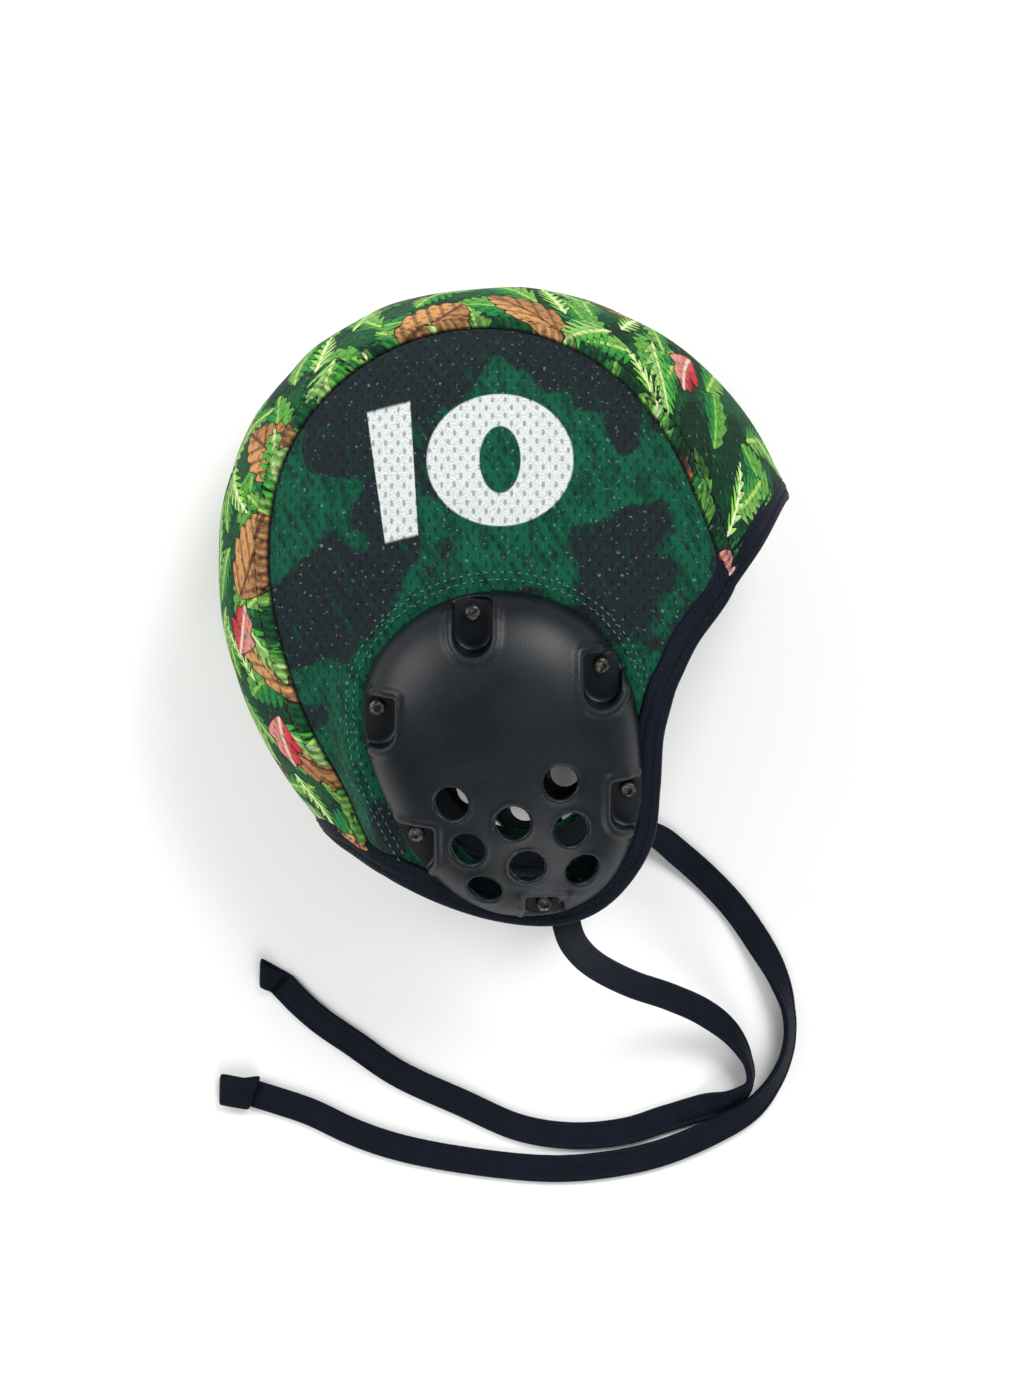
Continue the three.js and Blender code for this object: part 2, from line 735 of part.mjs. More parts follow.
// Dome in the guard's frame: an outline drawn in by an inset, and a height
function dome(inset, height, bottom) {
  const positions = [0, 0, height, 0, 0, bottom];
  const indices = [];
  for (let row = 0; row <= GUARD_ROWS; row += 1) {
    for (let side = 0; side < GUARD_SIDES; side += 1) {
      const angle = 360 * (side / GUARD_SIDES);
      const share = Math.sin((Math.PI / 2) * ((row + 1) / (GUARD_ROWS + 1)));
      const radius = (guardRadius(angle) - inset) * (row === GUARD_ROWS ? 1 : share);
      const level = row === GUARD_ROWS ? bottom : height * (domeHeight(share) / GUARD_HEIGHT);
      positions.push(Math.cos(radians(angle)) * radius, Math.sin(radians(angle)) * radius, level);
    }
  }
  const at = (row, side) => 2 + row * GUARD_SIDES + (side % GUARD_SIDES);
  for (let side = 0; side < GUARD_SIDES; side += 1) {
    indices.push(0, at(0, side), at(0, side + 1), 1, at(GUARD_ROWS, side + 1), at(GUARD_ROWS, side));
    for (let row = 0; row < GUARD_ROWS; row += 1) {
      const [a, b] = [at(row, side), at(row, side + 1)];
      const [c, d] = [at(row + 1, side + 1), at(row + 1, side)];
      indices.push(a, d, c, a, c, b);
    }
  }
  return toSolid(solidFrom(positions, indices));
}

// Pocket round a screw: straight above it and round below it, grown by a wall where asked
function pocket(screw, wall, bottom, top) {
  const { x, y } = screwPlace(screw);
  const radius = POCKET_RADIUS + wall;
  const low = POCKET_RADIUS - POCKET_BELOW;
  const shape = new THREE.Shape();
  shape.moveTo(radius, low);
  shape.lineTo(radius, POCKET_ABOVE + wall);
  shape.lineTo(-radius, POCKET_ABOVE + wall);
  shape.lineTo(-radius, low);
  shape.absarc(0, low, radius, Math.PI, 2 * Math.PI, false);
  const settings = { depth: top - bottom, bevelEnabled: false, curveSegments: CURVE_SIDES };
  const geometry = new THREE.ExtrudeGeometry(shape, settings);
  return toSolid(geometry.translate(x, y, bottom));
}

function ventBar({ along, up }) {
  const x = along * GUARD_LENGTH;
  const y = up * GUARD_LENGTH;
  const heightAt = (atX, atY) => {
    const angle = THREE.MathUtils.radToDeg(Math.atan2(atY, atX));
    return domeHeight(Math.hypot(atX, atY) / guardRadius(angle));
  };
  const slopeX = (heightAt(x + NORMAL_STEP, y) - heightAt(x - NORMAL_STEP, y)) / (2 * NORMAL_STEP);
  const slopeY = (heightAt(x, y + NORMAL_STEP) - heightAt(x, y - NORMAL_STEP)) / (2 * NORMAL_STEP);
  const normal = point(-slopeX, -slopeY, 1).normalize();
  const turn = new THREE.Quaternion().setFromUnitVectors(point(0, 0, 1), normal);
  const geometry = bar(VENT_RADIUS, -VENT_RADIUS, VENT_RADIUS, VENT_SIDES);
  geometry.applyQuaternion(turn).translate(x, y, heightAt(x, y));
  return toSolid(geometry);
}

const HOLE_RADIUS = SCREW_SHANK_RADIUS + HOLE_CLEARANCE;

function screwHoles(bottom, top) {
  return SCREWS.map((screw) => {
    const { x, y } = screwPlace(screw);
    return toSolid(bar(HOLE_RADIUS, bottom, top, HOLE_SIDES).translate(x, y, 0));
  });
}

// Ear guard: a moulded dome with vents below and six pockets for its screws
function guardSolid() {
  const top = GUARD_HEIGHT + CUT_MARGIN;
  let cavity = dome(GUARD_WALL, GUARD_HEIGHT - GUARD_WALL, -CUT_MARGIN);
  const cuts = [...VENTS.map(ventBar), ...screwHoles(-CUT_MARGIN, POCKET_FLOOR + CUT_MARGIN)];
  for (const screw of SCREWS) {
    cavity = cavity.subtract(pocket(screw, POCKET_WALL, -2 * CUT_MARGIN, top));
    cuts.push(pocket(screw, 0, POCKET_FLOOR, top));
  }
  let guard = dome(0, GUARD_HEIGHT, 0).subtract(cavity);
  for (const cut of cuts) {
    guard = guard.subtract(cut);
  }
  return toGeometry(guard);
}

const ringTop = -(GAP * 5 + CLOTH + BINDING_LEG * 2);
const ringBottom = ringTop - RING_THICKNESS;

// Clamp ring inside the cap, which the screws pull the cloth against
function clampRing() {
  const frames = [];
  for (let side = 0; side < RING_SIDES; side += 1) {
    const angle = 360 * (side / RING_SIDES);
    const outer = guardRadius(angle) - RING_INSET;
    const inner = outer - RING_WIDTH;
    const section = [[outer, ringTop], [outer, ringBottom], [inner, ringBottom], [inner, ringTop]];
    frames.push(section.map(([radius, height]) => (
      point(Math.cos(radians(angle)) * radius, Math.sin(radians(angle)) * radius, height)
    )));
  }
  let ring = toSolid(sweep(frames, true));
  for (const hole of screwHoles(ringBottom - CUT_MARGIN, ringTop + CUT_MARGIN)) {
    ring = ring.subtract(hole);
  }
  return toGeometry(ring);
}

// Screw with a round head, a six-sided socket and a plain shank
function screwSolid(screw) {
  const { x, y } = screwPlace(screw);
  const seat = POCKET_FLOOR + GAP;
  const head = toSolid(bar(SCREW_HEAD_RADIUS, seat, seat + SCREW_HEAD_HEIGHT, HOLE_SIDES));
  const shank = toSolid(bar(SCREW_SHANK_RADIUS, ringBottom, seat + SCREW_HEAD_HEIGHT / 2, HOLE_SIDES));
  const top = seat + SCREW_HEAD_HEIGHT;
  const socket = toSolid(bar(SOCKET_RADIUS, top - SOCKET_DEPTH, top + CUT_MARGIN, SOCKET_SIDES));
  return toGeometry(head.add(shank).subtract(socket)).translate(x, y, 0);
}

// Moves a piece from the guard's frame to its side of the lying cap
function placeOnSide(geometry, side) {
  const placed = geometry.clone().applyMatrix4(guardFrame(side));
  if (side === RIGHT) {
    return placed.translate(0, 0, MIDDLE_HEIGHT);
  }
  placed.scale(1, 1, -1).translate(0, FLAP_LIFT, MIDDLE_HEIGHT + flapPush);
  const indices = Array.from(placed.index.array);
  for (let index = 0; index < indices.length; index += 3) {
    [indices[index + 1], indices[index + 2]] = [indices[index + 2], indices[index + 1]];
  }
  placed.setIndex(indices);
  return placed;
}

// Clears a piece of cloth or tape for the screw shanks of the named sides
function clearScrews(geometry, sides) {
  let solid = toSolid(geometry);
  for (const side of sides) {
    for (const screw of SCREWS) {
      const { x, y } = screwPlace(screw);
      const hole = bar(HOLE_RADIUS, ringBottom - CUT_MARGIN, GAP, HOLE_SIDES).translate(x, y, 0);
      solid = solid.subtract(toSolid(placeOnSide(merge(hole), side)));
    }
  }
  return toGeometry(solid);
}

// Tie tape along its route, ending in a folded and stitched loop
function tieTape(route) {
  const curve = new THREE.CatmullRomCurve3(route.map(([x, y, z]) => point(x, y, z)), false, 'centripetal');
  const frames = [];
  for (let step = 0; step <= TIE_STEPS; step += 1) {
    const share = step / TIE_STEPS;
    const place = curve.getPoint(share);
    const along = curve.getTangent(share);
    const position = share * (route.length - 1);
    const index = Math.min(Math.floor(position), route.length - 2);
    const lean = radians(THREE.MathUtils.lerp(route[index][3], route[index + 1][3], position - index));
    const level = point(-along.y, along.x, 0).normalize();
    const rise = new THREE.Vector3().crossVectors(along, level).normalize();
    const across = level.clone().multiplyScalar(Math.cos(lean)).addScaledVector(rise, Math.sin(lean));
    const up = new THREE.Vector3().crossVectors(along, across).normalize();
    frames.push([[1, 1], [-1, 1], [-1, -1], [1, -1]].map(([over, height]) => (
      place.clone()
        .addScaledVector(across, over * TIE_WIDTH / 2)
        .addScaledVector(up, height * TIE_THICKNESS / 2)
    )));
  }
  const tape = toSolid(sweep(frames, false));
  const end = curve.getPoint(1);
  const heading = curve.getTangent(1);
  return toGeometry(tape.add(tieLoop(end, Math.atan2(heading.y, heading.x))));
}

function tieLoop(end, heading) {
  const half = LOOP_HEIGHT / 2;
  const shape = new THREE.Shape();
  shape.moveTo(0, -half);
  shape.lineTo(LOOP_LENGTH - half, -half);
  shape.absarc(LOOP_LENGTH - half, 0, half, -Math.PI / 2, Math.PI / 2, false);
  shape.lineTo(0, half);
  const inner = half - LOOP_WALL;
  const slot = new THREE.Path();
  slot.moveTo(LOOP_SEWN_LENGTH, -inner);
  slot.lineTo(LOOP_SEWN_LENGTH, inner);
  slot.lineTo(LOOP_LENGTH - half, inner);
  slot.lineTo(LOOP_LENGTH - half, -inner);
  shape.holes.push(slot);
  const settings = { depth: TIE_WIDTH, bevelEnabled: false, curveSegments: CURVE_SIDES };
  const geometry = new THREE.ExtrudeGeometry(shape, settings);
  geometry.translate(0, 0, -TIE_WIDTH / 2).rotateX(Math.PI / 2).rotateZ(heading);
  return toSolid(geometry.translate(end.x, end.y, end.z - TIE_THICKNESS / 2 + half));
}

const finishes = {
  sideCloth: new THREE.MeshStandardMaterial({ color: 0x0f4a3a, roughness: 0.85, metalness: 0 }),
  centreCloth: new THREE.MeshStandardMaterial({ color: 0x2f7a35, roughness: 0.85, metalness: 0 }),
  tape: new THREE.MeshStandardMaterial({ color: 0x0d1016, roughness: 0.65, metalness: 0 }),
  plastic: new THREE.MeshStandardMaterial({ color: 0x1a1b1d, roughness: 0.5, metalness: 0 }),
  steel: new THREE.MeshStandardMaterial({ color: 0x4a4d50, roughness: 0.4, metalness: 0.9 }),
};

const cap = new THREE.Group();

function addPiece(name, geometry, finish) {
  const mesh = new THREE.Mesh(geometry, finish);
  mesh.name = name;
  cap.add(mesh);
}

addPiece('centre_panel', centrePanel(), finishes.centreCloth);
addPiece('side_panel_right', clearScrews(sidePanel(RIGHT), [RIGHT]), finishes.sideCloth);
addPiece('side_panel_left', clearScrews(sidePanel(LEFT), [LEFT]), finishes.sideCloth);
addPiece('rim_binding', clearScrews(rimBinding(), [RIGHT, LEFT]), finishes.tape);

const guard = guardSolid();
const ring = clampRing();
for (const [label, side] of [['right', RIGHT], ['left', LEFT]]) {
  addPiece(`ear_guard_${label}`, placeOnSide(guard, side), finishes.plastic);
  addPiece(`clamp_ring_${label}`, placeOnSide(ring, side), finishes.plastic);
  SCREWS.forEach((screw, index) => {
    addPiece(`guard_screw_${label}_${index + 1}`, placeOnSide(screwSolid(screw), side), finishes.steel);
  });
}

// The origin goes under the middle of the cap, which its ties don't count towards
const middle = new THREE.Box3().setFromObject(cap).getCenter(point(0, 0, 0));
cap.position.set(-middle.x, -middle.y, 0);

addPiece('tie_right', tieTape(RIGHT_TIE_ROUTE), finishes.tape);
addPiece('tie_left', tieTape(LEFT_TIE_ROUTE), finishes.tape);

export default cap;
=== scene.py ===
import json
import logging
import math
from dataclasses import dataclass, field
from enum import Enum
from typing import Callable

import bpy
import numpy as np
from mathutils import Matrix, Vector

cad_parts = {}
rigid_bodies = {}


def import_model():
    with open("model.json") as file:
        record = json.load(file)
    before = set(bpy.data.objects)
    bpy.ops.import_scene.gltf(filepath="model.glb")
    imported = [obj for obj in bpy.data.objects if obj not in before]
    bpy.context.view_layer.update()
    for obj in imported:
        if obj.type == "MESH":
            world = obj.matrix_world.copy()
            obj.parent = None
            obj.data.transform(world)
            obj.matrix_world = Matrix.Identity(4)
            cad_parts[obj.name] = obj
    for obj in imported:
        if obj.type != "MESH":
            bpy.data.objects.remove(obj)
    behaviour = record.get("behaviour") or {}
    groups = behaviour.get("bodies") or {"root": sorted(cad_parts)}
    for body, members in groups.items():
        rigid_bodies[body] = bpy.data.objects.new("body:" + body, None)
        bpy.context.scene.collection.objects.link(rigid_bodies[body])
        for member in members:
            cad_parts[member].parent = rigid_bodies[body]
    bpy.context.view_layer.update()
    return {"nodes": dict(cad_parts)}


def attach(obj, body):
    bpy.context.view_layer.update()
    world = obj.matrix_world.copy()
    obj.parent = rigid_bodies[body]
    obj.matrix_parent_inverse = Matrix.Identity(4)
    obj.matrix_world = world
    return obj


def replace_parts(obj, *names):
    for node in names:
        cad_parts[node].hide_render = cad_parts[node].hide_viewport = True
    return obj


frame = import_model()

LOG = logging.getLogger("cap")
BODY = "root"
ORIGIN = np.array([-0.00034523, -0.00122329, 0.0])
FLOOR_EASE = 0.004
TINY = 1e-12
WAVES = 7
WAVE_RANGE = (0.6, 1.5)
WHITE = (1.0, 1.0, 1.0, 1.0)


# Small helpers for numbers and places

class Side(Enum):
    """The wearer's right side, which is up, or the left, which the cap lies on."""

    RIGHT = 1
    LEFT = -1

    @property
    def label(self) -> str:
        """The side's name as the solids have it."""
        return self.name.lower()


def smooth(value: np.ndarray) -> np.ndarray:
    """Eases a value from 0 to 1 and holds it outside that range."""
    held = np.clip(value, 0.0, 1.0)
    return held * held * (3.0 - 2.0 * held)


def unit(vectors: np.ndarray) -> np.ndarray:
    """Scales each row to a length of one."""
    return vectors / np.maximum(np.linalg.norm(vectors, axis=-1, keepdims=True), TINY)


def places(x: np.ndarray, y: np.ndarray, z: np.ndarray) -> np.ndarray:
    """Stacks three arrays of coordinates into places."""
    return np.stack(np.broadcast_arrays(x, y, z), axis=-1)


def run_lengths(points: np.ndarray) -> np.ndarray:
    """Gives the length along a row of points up to each of them."""
    steps = np.linalg.norm(np.diff(points, axis=0), axis=-1)
    return np.concatenate([np.zeros_like(steps[:1]), np.cumsum(steps, axis=0)])


def bell(distance: np.ndarray, width: float) -> np.ndarray:
    """A soft hump of height one at a distance of zero."""
    return np.exp(-((distance / width) ** 2))


def around(angle: np.ndarray, radius: np.ndarray) -> tuple[np.ndarray, np.ndarray]:
    """Gives x and y at angles in degrees and radii."""
    turned = np.radians(angle)
    return np.cos(turned) * radius, np.sin(turned) * radius


def wander(seed: int, points: np.ndarray, size: float) -> np.ndarray:
    """Gives a soft random height at each place.

    Args:
        seed: which of the soft surfaces is read.
        points: places, in metres.
        size: the distance between humps, in metres.

    Returns:
        Heights from about -1 to 1.
    """
    draw = np.random.default_rng(seed)
    total = np.zeros(points.shape[:-1])
    for _ in range(WAVES):
        way = unit(draw.normal(size=3)) * (2.0 * math.pi / size) * draw.uniform(*WAVE_RANGE)
        total = total + np.sin(points @ way + draw.uniform(0.0, 2.0 * math.pi))
    return total / (WAVES / 2)


@dataclass(frozen=True)
class Table:
    """A smooth curve through values at angles in degrees."""

    angles: tuple[float, ...]
    values: tuple[float, ...]
    closed: bool = True

    def read(self, angle: np.ndarray) -> np.ndarray:
        """Reads the curve.

        Args:
            angle: the angles to read it at, in degrees.

        Returns:
            The values there.
        """
        known, values = np.array(self.angles), np.array(self.values)
        count = len(known)
        turned = np.mod(angle, 360.0) if self.closed else np.asarray(angle, dtype=float)
        index = np.searchsorted(known, turned, side="right") - 1
        if not self.closed:
            index = np.clip(index, 0, count - 2)

        def pick(place: np.ndarray) -> tuple[np.ndarray, np.ndarray]:
            """Gives the angle and value of an entry, past the ends too."""
            if self.closed:
                return known[place % count] + 360.0 * (place // count), values[place % count]
            held = np.clip(place, 0, count - 1)
            return known[held], values[held]

        (a0, v0), (a1, v1), (a2, v2), (a3, v3) = (pick(index + shift) for shift in (-1, 0, 1, 2))
        span = a2 - a1
        share = (turned - a1) / span
        start_slope = (v2 - v0) / (a2 - a0) * span
        end_slope = (v3 - v1) / (a3 - a1) * span
        squared, cubed = share**2, share**3
        return (
            (2 * cubed - 3 * squared + 1) * v1 + (cubed - 2 * squared + share) * start_slope
            + (3 * squared - 2 * cubed) * v2 + (cubed - squared) * end_slope
        )


# The form of the cap and its rim

@dataclass(frozen=True)
class CapForm:
    """The surface of the lying cap, as the solids have it. Metres; x forward, y to the crown."""

    head_radius: float = 0.103
    half_widths: tuple[float, float] = (0.065, 0.070)
    fullnesses: tuple[float, float] = (2.3, 2.5)
    middle_height: float = 0.063
    crown_y: float = 0.018
    cloth: float = 0.0016
    gap: float = 0.0003
    binding_width: float = 0.010
    binding_leg: float = 0.001
    guard_length: float = 0.1165
    guard_height: float = 0.025
    guard_tilt: float = math.radians(11.0)
    guard_y: float = -0.0495
    guard_rim_margin: float = 0.003
    guard_roundness: float = 2.4
    ear_hole_inset: float = 0.014
    seat_blend: float = 0.008
    seat_margin: float = 0.006
    flap_lift: float = 0.014
    fold_reach: float = 0.041
    fold_depth: float = 0.040
    rest_softness: float = 0.0015
    nape_angle: float = 249.5
    face_angle: float = -9.3
    face_rise: float = 21.1
    face_squareness: float = 3.2
    nape_rise: float = 11.6
    nape_squareness: float = 2.5
    rim_samples: int = 600
    outline: Table = Table(
        (0, 20, 45, 90, 120, 150, 180, 205, 230, 238, 250, 260, 276, 295, 325, 345),
        (1.053, 0.99, 0.958, 0.945, 0.971, 1.002, 0.996, 1.024, 1.095, 1.151, 1.335, 1.45, 1.53,
         1.47, 1.223, 1.1),
    )
    seam: Table = Table(
        (0, 20, 45, 90, 120, 150, 180, 205, 230, 238, 250, 260, 276, 295, 325, 345),
        (0.729, 0.682, 0.7, 0.782, 0.815, 0.829, 0.815, 0.835, 0.935, 1.003, 1.181, 1.34, 1.4,
         1.3, 1.0, 0.82),
    )
    side_rim: Table = Table(
        (249.5, 258, 269, 277, 282, 287, 293, 298, 303, 310, 317, 324, 336, 350.7),
        (1.173, 1.206, 1.253, 1.277, 1.273, 1.241, 1.169, 1.085, 0.965, 0.832, 0.765, 0.73,
         0.721, 0.785),
        closed=False,
    )
    guard_outline: Table = Table(
        tuple(range(0, 360, 30)),
        (0.408, 0.427, 0.466, 0.481, 0.484, 0.469, 0.414, 0.395, 0.446, 0.513, 0.53, 0.459),
    )

    def of_side(self, pair: tuple[float, float], side: Side) -> float:
        """Picks the value of a side from a pair of right and left."""
        return pair[0] if side is Side.RIGHT else pair[1]

    def outline_radius(self, angle: np.ndarray) -> np.ndarray:
        """Radius of the crown's outline at an angle in degrees."""
        return self.head_radius * self.outline.read(angle)

    def guard_radius(self, angle: np.ndarray) -> np.ndarray:
        """Radius of the guard's outline at an angle in degrees."""
        return self.guard_length * self.guard_outline.read(angle)

    def shell_share(self, share: np.ndarray, side: Side) -> np.ndarray:
        """Distance out, as a share of the half width, at a share of the outline."""
        power = self.of_side(self.fullnesses, side)
        return np.maximum(1.0 - share**power, 0.0) ** (1.0 / power)

    def seat_height(self, side: Side) -> float:
        """Height of the guard's centre out from the middle plane."""
        half_width = self.of_side(self.half_widths, side)
        return half_width - self.guard_length / 2 * math.sin(self.guard_tilt) + self.gap

    def guard_offset(self, x: np.ndarray, y: np.ndarray) -> tuple[np.ndarray, np.ndarray]:
        """Height up the guard and distance outside its outline of a place."""
        up = (y - self.guard_y) / math.cos(self.guard_tilt)
        return up, np.hypot(x, up) - self.guard_radius(np.degrees(np.arctan2(up, x)))

    def cloth_offset(self, x: np.ndarray, y: np.ndarray, side: Side) -> np.ndarray:
        """Distance of a side panel out from the middle plane."""
        dy = y - self.crown_y
        radius = self.outline_radius(np.degrees(np.arctan2(dy, x)))
        share = np.minimum(np.hypot(x, dy) / radius, 1.0)
        shell = self.of_side(self.half_widths, side) * self.shell_share(share, side)
        up, distance = self.guard_offset(x, y)
        quarter = self.guard_length / 4
        stack = self.gap + (self.binding_leg + self.gap) * smooth((2 * quarter - up) / quarter)
        sine, cosine = math.sin(self.guard_tilt), math.cos(self.guard_tilt)
        seat = self.seat_height(side) + up * sine - stack / cosine
        return seat + (shell - seat) * smooth((distance - self.seat_margin) / self.seat_blend)

    def dome_height(self, share: np.ndarray) -> np.ndarray:
        """Height of the guard at a share of its outline."""
        return self.guard_height * np.sqrt(np.maximum(1.0 - share**self.guard_roundness, 0.0))

    @property
    def flap_push(self) -> float:
        """How far the middle of the left guard is folded in."""
        return self.guard_height + self.seat_height(Side.LEFT) - self.middle_height

    def lay_down(self, x: np.ndarray, y: np.ndarray, out: np.ndarray) -> np.ndarray:
        """Lays places of the upright cap down on the surface.

        Args:
            x: places forward.
            y: places towards the crown.
            out: distances out of the middle plane to the right.

        Returns:
            The places on the lying cap.
        """
        distance = self.guard_offset(x, y)[1]
        near = (self.fold_reach - distance) / (self.fold_reach - self.seat_margin)
        fold = np.where(out >= 0, 0.0, smooth(-out / self.fold_depth) * smooth(near))
        push = self.flap_push + (y - self.guard_y) * math.tan(self.guard_tilt)
        height = self.middle_height + out + push * fold
        soft = self.rest_softness
        eased = np.where(height < soft, (np.maximum(height, -soft) + soft) ** 2 / (4 * soft), height)
        return places(x, y + self.flap_lift * fold, eased) + ORIGIN

    def side_point(self, x: np.ndarray, y: np.ndarray, side: Side) -> np.ndarray:
        """Place of a side panel's cloth."""
        return self.lay_down(x, y, side.value * self.cloth_offset(x, y, side))

    def side_normal(self, x: np.ndarray, y: np.ndarray, side: Side) -> np.ndarray:
        """Way out of a side panel's cloth."""
        step = 0.0006
        along = self.side_point(x + step, y, side) - self.side_point(x - step, y, side)
        across = self.side_point(x, y + step, side) - self.side_point(x, y - step, side)
        return unit(np.cross(along, across)) * side.value

    def centre_point(self, angle: np.ndarray, across: np.ndarray) -> np.ndarray:
        """Place on the centre panel, from the left seam at -1 to the right seam at 1."""
        angle, across = np.broadcast_arrays(np.asarray(angle, float), np.asarray(across, float))
        made = np.zeros(angle.shape + (3,))
        for side in Side:
            seam = self.shell_share(self.seam.read(angle) / self.outline.read(angle), side)
            share = np.abs(across) * seam
            radius = self.outline_radius(angle) * self.shell_share(share, side)
            x, rise = around(angle, radius)
            y = self.crown_y + rise
            laid = self.lay_down(x, y, side.value * share * self.of_side(self.half_widths, side))
            mine = (across >= 0) if side is Side.RIGHT else (across < 0)
            made[mine] = laid[mine]
        return made

    def centre_normal(self, angle: np.ndarray, across: np.ndarray) -> np.ndarray:
        """Way out of the centre panel's cloth."""
        turn, shift = 0.5, 0.02
        along = self.centre_point(angle + turn, across) - self.centre_point(angle - turn, across)
        over = self.centre_point(angle, across + shift) - self.centre_point(angle, across - shift)
        return -unit(np.cross(over, along))

    def face_rim_angle(self, across: np.ndarray) -> np.ndarray:
        """Angle of the rim over the face."""
        return self.face_angle + self.face_rise * (1 - np.abs(across) ** self.face_squareness)

    def nape_rim_angle(self, across: np.ndarray) -> np.ndarray:
        """Angle of the rim over the nape."""
        return self.nape_angle - self.nape_rise * (1 - np.abs(across) ** self.nape_squareness)

    @property
    def strip_inset(self) -> float:
        """How far in the binding's inner edge is."""
        return self.binding_width + 2 * self.gap

    def strip_angles(self, across: np.ndarray) -> tuple[np.ndarray, np.ndarray]:
        """Angles of the binding's inner edge over the face and over the nape."""
        turn = math.degrees(self.strip_inset / self.head_radius)
        return self.face_rim_angle(across) + turn, self.nape_rim_angle(across) - turn

    def side_rim_places(self, steps: int) -> tuple[np.ndarray, np.ndarray]:
        """Evenly spaced places of a side's rim on the upright cap, from nape to face."""
        angle = np.linspace(self.nape_angle, 360 + self.face_angle, self.rim_samples)
        radius = self.head_radius * self.side_rim.read(angle)
        x, rise = around(angle, radius)
        y = self.crown_y + rise
        up, distance = self.guard_offset(x, y)
        grow = 1 + np.maximum(self.guard_rim_margin - distance, 0.0) / np.hypot(x, up)
        x, y = x * grow, self.guard_y + up * grow * math.cos(self.guard_tilt)
        length = run_lengths(np.stack([x, y], axis=-1))
        even = np.linspace(0, length[-1], steps + 1)
        return np.interp(even, length, x), np.interp(even, length, y)


@dataclass
class Rim:
    """The whole rim as one loop of frames, from the nape along the right side."""

    form: CapForm
    side_steps: int = 150
    centre_steps: int = 64
    ease_steps: int = 8
    place: np.ndarray = field(init=False)
    along: np.ndarray = field(init=False)
    normal: np.ndarray = field(init=False)
    inward: np.ndarray = field(init=False)

    def __post_init__(self) -> None:
        """Walks round the rim once."""
        across = np.linspace(-1, 1, self.centre_steps + 1)[1:-1]
        stretches = [
            self.side_stretch(Side.RIGHT),
            self.centre_stretch(self.form.face_rim_angle, 0, across[::-1]),
            tuple(part[::-1] for part in self.side_stretch(Side.LEFT)),
            self.centre_stretch(self.form.nape_rim_angle, 1, across),
        ]
        self.place = np.concatenate([place for place, _ in stretches])
        target = np.concatenate([target for _, target in stretches])
        self.along = unit(np.roll(self.place, -1, axis=0) - np.roll(self.place, 1, axis=0))
        slant = unit(target - self.place)
        self.normal = unit(np.cross(self.along, slant))
        square = np.cross(self.normal, self.along)
        stretch = np.maximum((slant * square).sum(axis=-1, keepdims=True), 0.5)
        self.inward = slant / stretch

    def side_stretch(self, side: Side) -> tuple[np.ndarray, np.ndarray]:
        """The rim of one side, and a target on the cloth for each of its places."""
        x, y = self.form.side_rim_places(self.side_steps)
        run_x, run_y = np.gradient(x), np.gradient(y)
        reach = self.form.strip_inset / np.hypot(run_x, run_y)
        target = self.form.side_point(x - run_y * reach, y + run_x * reach, side)
        face, nape = self.form.strip_angles(np.array(float(side.value)))
        target[0] = self.form.centre_point(nape, np.array(float(side.value)))
        target[-1] = self.form.centre_point(face, np.array(float(side.value)))
        for share in range(1, self.ease_steps):
            mix = 1 - share / self.ease_steps
            for end, shift in ((0, share), (-1, -1 - share)):
                way = (target[end] - self.form.side_point(x[end], y[end], side)) * mix
                own = target[shift] - self.form.side_point(x[shift], y[shift], side)
                target[shift] = self.form.side_point(x[shift], y[shift], side) + way + own * (1 - mix)
        return self.form.side_point(x, y, side), target

    def centre_stretch(self, rim_angle, end: int, across: np.ndarray) -> tuple[np.ndarray, np.ndarray]:
        """The rim of one end of the centre panel, and its targets."""
        strip = self.form.strip_angles(across)[end]
        return self.form.centre_point(rim_angle(across), across), self.form.centre_point(strip, across)

    def inside(self, inset: float, lift: float = 0.0) -> np.ndarray:
        """Places at an inset from the rim and a lift off the cloth."""
        return self.place + self.inward * inset + self.normal * lift

    def of_side(self, side: Side) -> slice:
        """Where a side's frames are in the loop."""
        start = 0 if side is Side.RIGHT else self.side_steps + self.centre_steps
        return slice(start, start + self.side_steps + 1)


# Meshes

def add_map(mesh: bpy.types.Mesh, name: str, flat: np.ndarray) -> None:
    """Gives a mesh a flat map, from a flat place in metres for each vertex."""
    layer = mesh.uv_layers.new(name=name)
    corners = np.zeros(len(mesh.loops), dtype=np.int32)
    mesh.loops.foreach_get("vertex_index", corners)
    layer.data.foreach_set("uv", flat[corners].astype(np.float32).ravel())


def make_mesh(name: str, points: np.ndarray, faces: list, uv: np.ndarray | None = None) -> bpy.types.Object:
    """Makes an object from places and faces.

    Args:
        name: the piece's name.
        points: one place for each vertex, in metres.
        faces: tuples of vertex numbers.
        uv: one flat place for each vertex, in metres.

    Returns:
        The new object, shaded smooth.
    """
    mesh = bpy.data.meshes.new(name)
    mesh.from_pydata([tuple(map(float, place)) for place in points], [], faces)
    if uv is not None:
        add_map(mesh, "flat", uv)
    mesh.update()
    made = bpy.data.objects.new(name, mesh)
    bpy.context.scene.collection.objects.link(made)
    pick_only(made)
    bpy.ops.object.shade_smooth()
    return made


